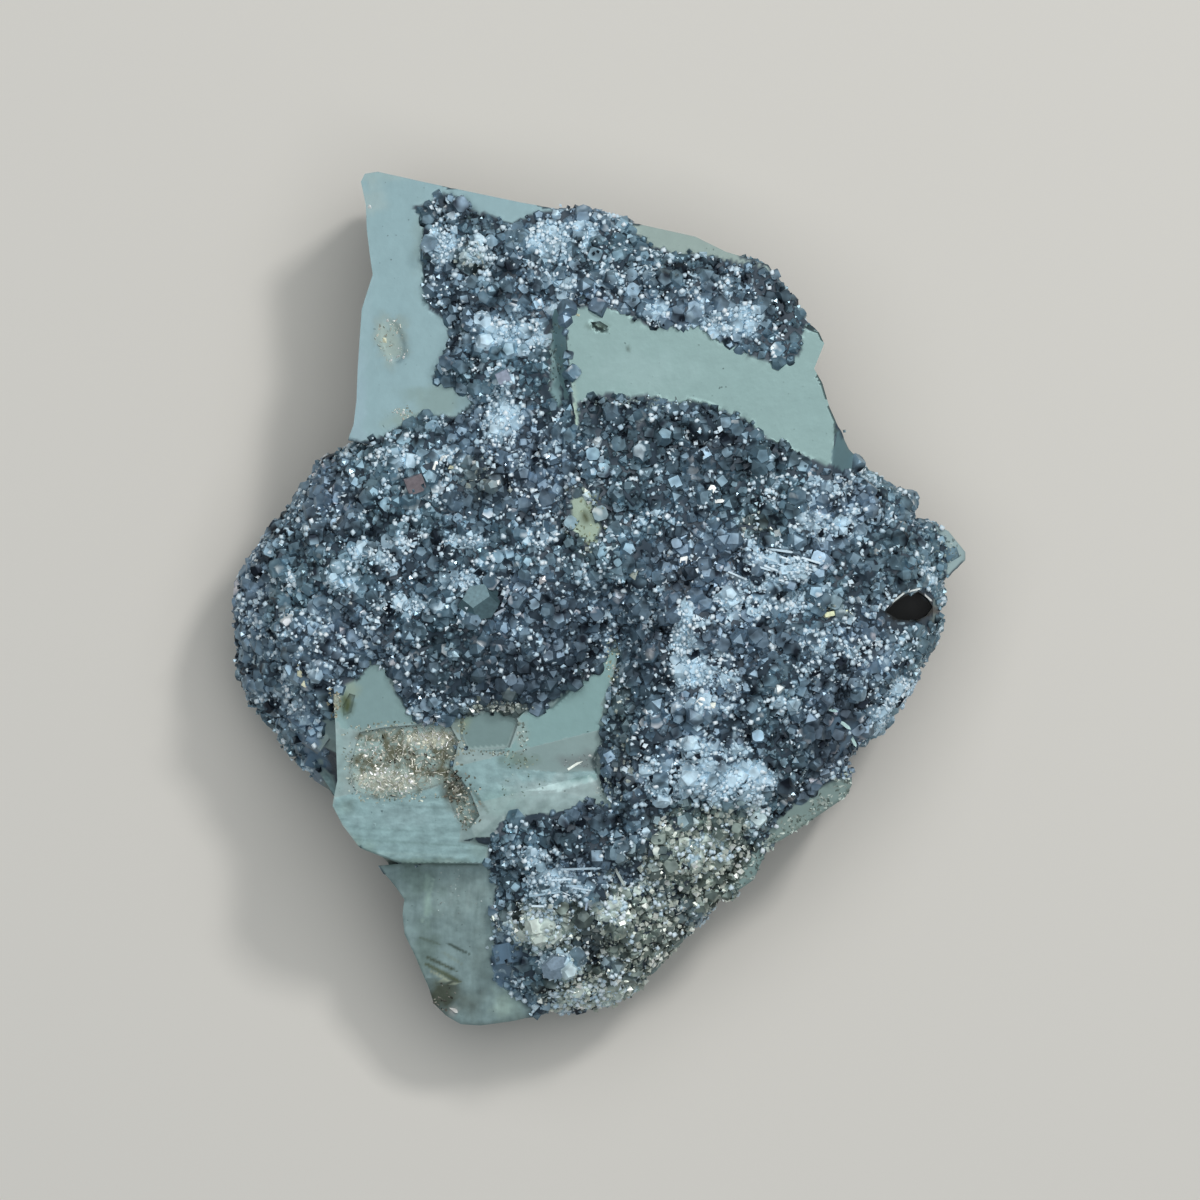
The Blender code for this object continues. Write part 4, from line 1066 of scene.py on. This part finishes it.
# %% Tables of single crystals: shape, column, row, half sizes in mm, turn in degrees, colour
# Colours of the painted glints: near-white chips that stand in for facets flashing in the light.
GLINT_WHITE, GLINT_CREAM, GLINT_ICE = (0.95, 0.97, 0.93), (0.80, 0.80, 0.58), (0.72, 0.88, 0.93)
SINGLE_CRYSTALS_AND_GLINTS = [
    ("splinter", 446, 459, (1.1, 0.7, 0.4), (6, -4, 20), GLINT_WHITE), ("flake", 436, 467, (0.6, 0.4, 0.5), (9, 0, 70), GLINT_WHITE),
    ("splinter", 452, 468, (0.5, 0.4, 0.3), (0, 8, 10), GLINT_CREAM), ("cut_block", 416, 485, (1.3, 1.2, 0.5), (12, 9, 20), (0.20, 0.17, 0.185)),
    ("twelve_faces", 481, 602, (2.1, 1.9, 1.0), (4, 6, 35), (0.085, 0.15, 0.17)),
    ("block", 504, 378, (0.9, 0.8, 0.5), (9, -8, 24), (0.38, 0.43, 0.54)),
    ("splinter", 709, 705, (1.2, 0.7, 0.4), (0, 5, 15), (0.95, 0.97, 0.85)),
    ("flake", 699, 702, (0.7, 0.8, 0.5), (5, 0, 50), GLINT_WHITE), ("flake", 683, 560, (0.55, 0.8, 0.5), (0, 0, 80), GLINT_WHITE),
    ("splinter", 668, 556, (0.4, 0.35, 0.3), (0, 0, 30), GLINT_WHITE), ("flake", 711, 490, (0.45, 0.75, 0.4), (0, 6, 60), GLINT_WHITE),
    ("flake", 717, 502, (0.7, 0.4, 0.4), (5, 0, 5), GLINT_WHITE), ("splinter", 611, 550, (1.2, 0.8, 0.4), (0, 0, 200), GLINT_ICE),
    ("splinter", 634, 573, (0.6, 1.4, 0.4), (0, 0, -12), (0.52, 0.58, 0.50)),
    ("flake", 833, 613, (1.5, 0.55, 0.4), (0, 0, 12), (0.74, 0.78, 0.50)),
    ("splinter", 824, 616, (0.7, 0.4, 0.3), (0, 0, 150), GLINT_CREAM), ("splinter", 300, 671, (0.45, 1.5, 0.4), (0, 0, 10), GLINT_CREAM),
    ("flake", 305, 684, (0.4, 0.6, 0.4), (0, 0, 60), GLINT_CREAM), ("flake", 576, 764, (1.5, 0.28, 0.4), (0, 0, 33), (0.82, 0.88, 0.80)),
    ("splinter", 590, 755, (0.3, 0.25, 0.2), (0, 0, 0), GLINT_WHITE), ("splinter", 543, 580, (0.8, 0.7, 0.35), (0, 0, 40), (0.62, 0.60, 0.60)),
    ("splinter", 370, 207, (0.35, 0.45, 0.3), (0, 0, 10), GLINT_WHITE), ("splinter", 388, 321, (0.3, 0.3, 0.3), (0, 0, 10), GLINT_WHITE),
    ("splinter", 391, 361, (0.4, 0.25, 0.3), (0, 0, 40), GLINT_WHITE), ("splinter", 404, 358, (0.35, 0.3, 0.3), (0, 0, 90), GLINT_WHITE),
    ("splinter", 385, 341, (0.45, 0.7, 0.25), (0, 0, 15), GLINT_CREAM), ("splinter", 404, 413, (0.3, 0.35, 0.3), (0, 0, 0), GLINT_WHITE),
    ("splinter", 352, 603, (0.35, 0.3, 0.3), (0, 0, 0), GLINT_WHITE), ("splinter", 292, 615, (0.3, 0.35, 0.3), (0, 0, 0), GLINT_WHITE),
    ("splinter", 255, 560, (0.35, 0.3, 0.3), (0, 0, 0), GLINT_WHITE), ("splinter", 318, 545, (0.35, 0.3, 0.3), (0, 0, 50), GLINT_WHITE),
    ("splinter", 578, 317, (0.4, 0.3, 0.3), (0, 0, 0), GLINT_CREAM), ("splinter", 585, 401, (0.4, 0.35, 0.3), (0, 0, 0), GLINT_ICE),
    ("splinter", 748, 352, (0.3, 0.3, 0.3), (0, 0, 0), GLINT_WHITE), ("splinter", 741, 348, (0.3, 0.25, 0.3), (0, 0, 0), GLINT_ICE),
    ("splinter", 614, 668, (0.3, 0.3, 0.3), (0, 0, 0), GLINT_WHITE), ("splinter", 609, 676, (0.25, 0.3, 0.3), (0, 0, 0), GLINT_CREAM),
    ("flake", 841, 722, (1.3, 0.4, 0.4), (0, 0, -38), (0.42, 0.60, 0.58)), ("flake", 852, 738, (1.1, 0.35, 0.4), (0, 0, -65), (0.42, 0.60, 0.58)),
    ("flake", 829, 709, (0.9, 0.35, 0.4), (0, 0, -15), (0.36, 0.54, 0.53)), ("twelve_faces", 556, 967, (1.5, 1.3, 0.5), (23, 14, 20), (0.28, 0.37, 0.45)),
    ("flake", 452, 1011, (0.7, 0.4, 0.3), (0, 0, -40), (0.55, 0.55, 0.52)), ("splinter", 487, 948, (0.3, 0.5, 0.3), (0, 0, 0), GLINT_ICE),
    ("needle", 580, 868, (1.7, 1.7, 2.7), (0, 90, 2), (0.38, 0.51, 0.60)), ("needle", 568, 885, (1.8, 1.8, 3.2), (0, 90, -3), (0.36, 0.50, 0.60)),
    ("needle", 556, 878, (1.6, 1.6, 2.2), (0, 90, 1), (0.32, 0.46, 0.56)), ("needle", 618, 873, (2.0, 2.0, 1.9), (0, 90, -62), (0.38, 0.44, 0.42)),
    ("needle", 545, 893, (1.6, 1.6, 2.2), (0, 90, 8), (0.32, 0.46, 0.55)), ("needle", 587, 900, (1.6, 1.6, 1.3), (0, 90, 84), (0.32, 0.41, 0.52)),
    ("splinter", 447, 649, (1.0, 0.7, 0.4), (4, 0, 30), (0.40, 0.55, 0.63)), ("splinter", 455, 653, (0.9, 0.6, 0.4), (0, 6, 130), (0.46, 0.64, 0.72)),
    ("splinter", 451, 657, (0.6, 0.5, 0.4), (0, 0, 70), (0.36, 0.50, 0.58)), ("splinter", 453, 645, (0.5, 0.6, 0.4), (0, 5, 10), (0.50, 0.68, 0.76)),
    ("needle", 506, 598, (2.2, 2.2, 1.3), (0, 90, 70), (0.42, 0.50, 0.58)), ("needle", 502, 611, (2.2, 2.2, 1.1), (0, 90, 30), (0.42, 0.50, 0.58)),
    ("needle", 893, 601, (1.3, 1.3, 1.7), (0, 90, 38), (0.60, 0.64, 0.62)), ("needle", 910, 591, (1.3, 1.3, 1.3), (0, 90, 14), (0.66, 0.70, 0.68)),
    ("needle", 925, 595, (1.3, 1.3, 1.2), (0, 90, -42), (0.56, 0.58, 0.56)),
]

# Scattered flecks: column, row, half width, half height, how many, size in mm, darkest and brightest colour
FLECK_PATCHES = [
    (392, 343, 11, 19, 14, 0.22, (0.20, 0.27, 0.25), (0.56, 0.64, 0.57)),
    (404, 412, 9, 7, 12, 0.22, (0.12, 0.15, 0.12), (0.85, 0.88, 0.78)),
    (522, 738, 6, 18, 34, 0.24, (0.10, 0.14, 0.12), (0.62, 0.72, 0.66)),
    (518, 760, 20, 8, 30, 0.20, (0.09, 0.13, 0.09), (0.48, 0.58, 0.48)),
    (583, 760, 24, 9, 30, 0.20, (0.13, 0.16, 0.16), (0.38, 0.44, 0.43)),
    (520, 785, 30, 14, 16, 0.20, (0.09, 0.15, 0.12), (0.40, 0.55, 0.50)),
    (334, 702, 7, 17, 22, 0.26, (0.14, 0.15, 0.08), (0.52, 0.48, 0.36)),
    (467, 800, 16, 30, 54, 0.24, (0.04, 0.05, 0.03), (0.70, 0.70, 0.58)),
    (352, 745, 12, 30, 22, 0.20, (0.12, 0.17, 0.14), (0.62, 0.68, 0.58)),
    (500, 706, 38, 5, 46, 0.26, (0.05, 0.07, 0.06), (0.72, 0.78, 0.72)),
    (612, 660, 7, 26, 40, 0.24, (0.14, 0.18, 0.11), (0.80, 0.84, 0.70)),
    (590, 520, 16, 26, 40, 0.28, (0.08, 0.10, 0.05), (0.44, 0.52, 0.36)),
    (455, 895, 28, 26, 20, 0.16, (0.12, 0.16, 0.15), (0.58, 0.68, 0.66)),
    (846, 786, 12, 16, 60, 0.30, (0.10, 0.14, 0.12), (0.58, 0.66, 0.60)),
    (824, 806, 16, 12, 60, 0.30, (0.10, 0.14, 0.12), (0.58, 0.66, 0.60)),
    (798, 826, 18, 12, 60, 0.30, (0.08, 0.12, 0.10), (0.54, 0.62, 0.56)),
    (776, 842, 14, 10, 40, 0.30, (0.08, 0.12, 0.10), (0.54, 0.62, 0.56)),
    (757, 866, 14, 14, 50, 0.30, (0.08, 0.12, 0.11), (0.52, 0.60, 0.55)),
    (736, 884, 14, 12, 50, 0.30, (0.08, 0.12, 0.11), (0.50, 0.58, 0.53)),
    (400, 727, 52, 6, 50, 0.22, (0.09, 0.12, 0.09), (0.66, 0.70, 0.58)),
    (400, 797, 44, 6, 44, 0.22, (0.10, 0.14, 0.11), (0.70, 0.74, 0.62)),
    (352, 770, 7, 26, 24, 0.22, (0.12, 0.17, 0.14), (0.66, 0.72, 0.62)),
    (456, 748, 10, 20, 34, 0.22, (0.08, 0.11, 0.08), (0.66, 0.68, 0.56)),
    (462, 732, 5, 18, 24, 0.22, (0.08, 0.10, 0.06), (0.50, 0.56, 0.44)),
    # These two rows of near-white flecks are partly painted glints in the broken zone.
    (428, 739, 22, 8, 30, 0.40, (0.40, 0.41, 0.31), (0.95, 0.93, 0.80)),
    (386, 781, 32, 10, 34, 0.36, (0.36, 0.38, 0.30), (0.92, 0.92, 0.80)),
    (454, 786, 10, 16, 30, 0.34, (0.03, 0.03, 0.02), (0.20, 0.18, 0.13)),
    (400, 757, 36, 6, 24, 0.30, (0.03, 0.03, 0.02), (0.24, 0.23, 0.17)),
    (490, 752, 26, 4, 30, 0.22, (0.08, 0.10, 0.08), (0.52, 0.60, 0.52)),
    (604, 790, 8, 16, 24, 0.24, (0.14, 0.20, 0.19), (0.56, 0.66, 0.62)),
    (948, 548, 14, 22, 30, 0.26, (0.10, 0.15, 0.15), (0.50, 0.60, 0.58)),
    (640, 404, 60, 6, 50, 0.26, (0.04, 0.07, 0.07), (0.40, 0.52, 0.52)),
    (440, 1000, 16, 16, 26, 0.24, (0.03, 0.03, 0.02), (0.34, 0.33, 0.28)),
    # Dark flecks on the band's side wall: painted shade of a wall that faces away from the light.
    (555, 360, 8, 44, 60, 0.26, (0.05, 0.09, 0.09), (0.20, 0.30, 0.30)),
]
FLECK_SEED = 17


# %% Place them
def surface_under(pieces):
    """A tree of the pieces' triangles, for dropping rays on."""
    corners, sides = [], []
    for piece in pieces:
        mesh = piece.data
        first = len(corners)
        corners += [vertex.co.copy() for vertex in mesh.vertices]
        sides += [[first + i for i in polygon.vertices] for polygon in mesh.polygons]
    return BVHTree.FromPolygons(corners, sides)


def scattered(patches):
    """Rows for flecks strewn over oval patches, dark and bright in turn."""
    chance = random.Random(FLECK_SEED)
    rows = []
    for column, row, half_width, half_height, count, size, darkest, brightest in patches:
        for _ in range(count):
            reach, angle = chance.random() ** 0.6, chance.uniform(0, math.tau)
            share = chance.random() ** 1.5
            half = [size * chance.uniform(0.5, 1.2) for _ in range(2)] + [size * 0.5]
            turn = (chance.uniform(-12, 12), chance.uniform(-12, 12), chance.uniform(0, 360))
            colour = [dark + (bright - dark) * share for dark, bright in zip(darkest, brightest)]
            at = (column + half_width * reach * math.cos(angle), row + half_height * reach * math.sin(angle))
            rows.append((chance.choice(["splinter", "flake"]), *at, half, turn, colour))
    return rows


def placed(name, rows, surface, finish):
    """One mesh of single crystals, each resting on the surface under its picture point."""
    mesh = bmesh.new()
    tint = mesh.verts.layers.float_color.new("tint")
    side = mesh.faces.layers.float.new("side")
    for kind, column, row, half_sizes, turn, crystal_colour in rows:
        at = place(column, row)
        hit = surface.ray_cast(Vector((at.x, at.y, 1)), Vector((0, 0, -1)))[0]
        if hit is None:
            continue
        shape = shapes[kind].data
        sides = shape.attributes["side"].data
        rotation = Euler([math.radians(angle) for angle in turn])
        made = []
        for vertex in shape.vertices:
            corner = Vector(part * half * MM for part, half in zip(vertex.co, half_sizes))
            corner.rotate(rotation)
            new = mesh.verts.new(corner + hit)
            new[tint] = (*crystal_colour, 1)
            made.append(new)
        for polygon, number in zip(shape.polygons, sides):
            mesh.faces.new([made[i] for i in polygon.vertices])[side] = number.value
    data = bpy.data.meshes.new(name)
    mesh.to_mesh(data)
    mesh.free()
    data.materials.append(finish)
    piece = bpy.data.objects.new(name, data)
    scene.collection.objects.link(piece)
    print(name, len(data.polygons), "faces")
    return piece


single_finish, tree, shader, where = new_finish("single_crystal_metal")
own = attribute(tree, "tint", "Color")
strength = (attribute(tree, "side") * 0.45 + 0.7) * (clouds(tree, where, 1900, 3.0) + 0.5)
dimmed = node(tree, "ShaderNodeVectorMath", {"operation": "SCALE"}, {"Vector": own, "Scale": strength})
connect(tree, shader.inputs["Base Color"], dimmed)
shader.inputs["Metallic"].default_value = 0.35
connect(tree, shader.inputs["Roughness"], 0.5 - attribute(tree, "side") * 0.2)
ground = surface_under([crystal_mass, *grown_pieces[:3]])
grown_pieces += [
    placed("single_crystals", SINGLE_CRYSTALS_AND_GLINTS, ground, single_finish),
    placed("face_flecks", scattered(FLECK_PATCHES), ground, single_finish),
]

# %% [markdown]
# ## Floor and the last calls
# The floor is plain and pale and isn't part of the stone. Each finished piece rides on the only body there is,
# and the skin stands for the solid, which stays underneath for the physics.

# %% Floor
FLOOR_HALF = 4.0
floor_mesh = bpy.data.meshes.new("floor")
floor_mesh.from_pydata([(*corner, 0) for corner in signs(FLOOR_HALF, FLOOR_HALF)], [], [(0, 1, 3, 2)])
floor = bpy.data.objects.new("floor", floor_mesh)
scene.collection.objects.link(floor)
pale_floor, tree, shader, where = new_finish("pale_floor")
shader.inputs["Base Color"].default_value = (0.74, 0.70, 0.64, 1)
shader.inputs["Roughness"].default_value = 0.85
floor_mesh.materials.append(pale_floor)

# %% Hand the pieces to the body
for piece in [crystal_mass, *grown_pieces]:
    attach(piece, "root")
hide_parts("pyrite_specimen")
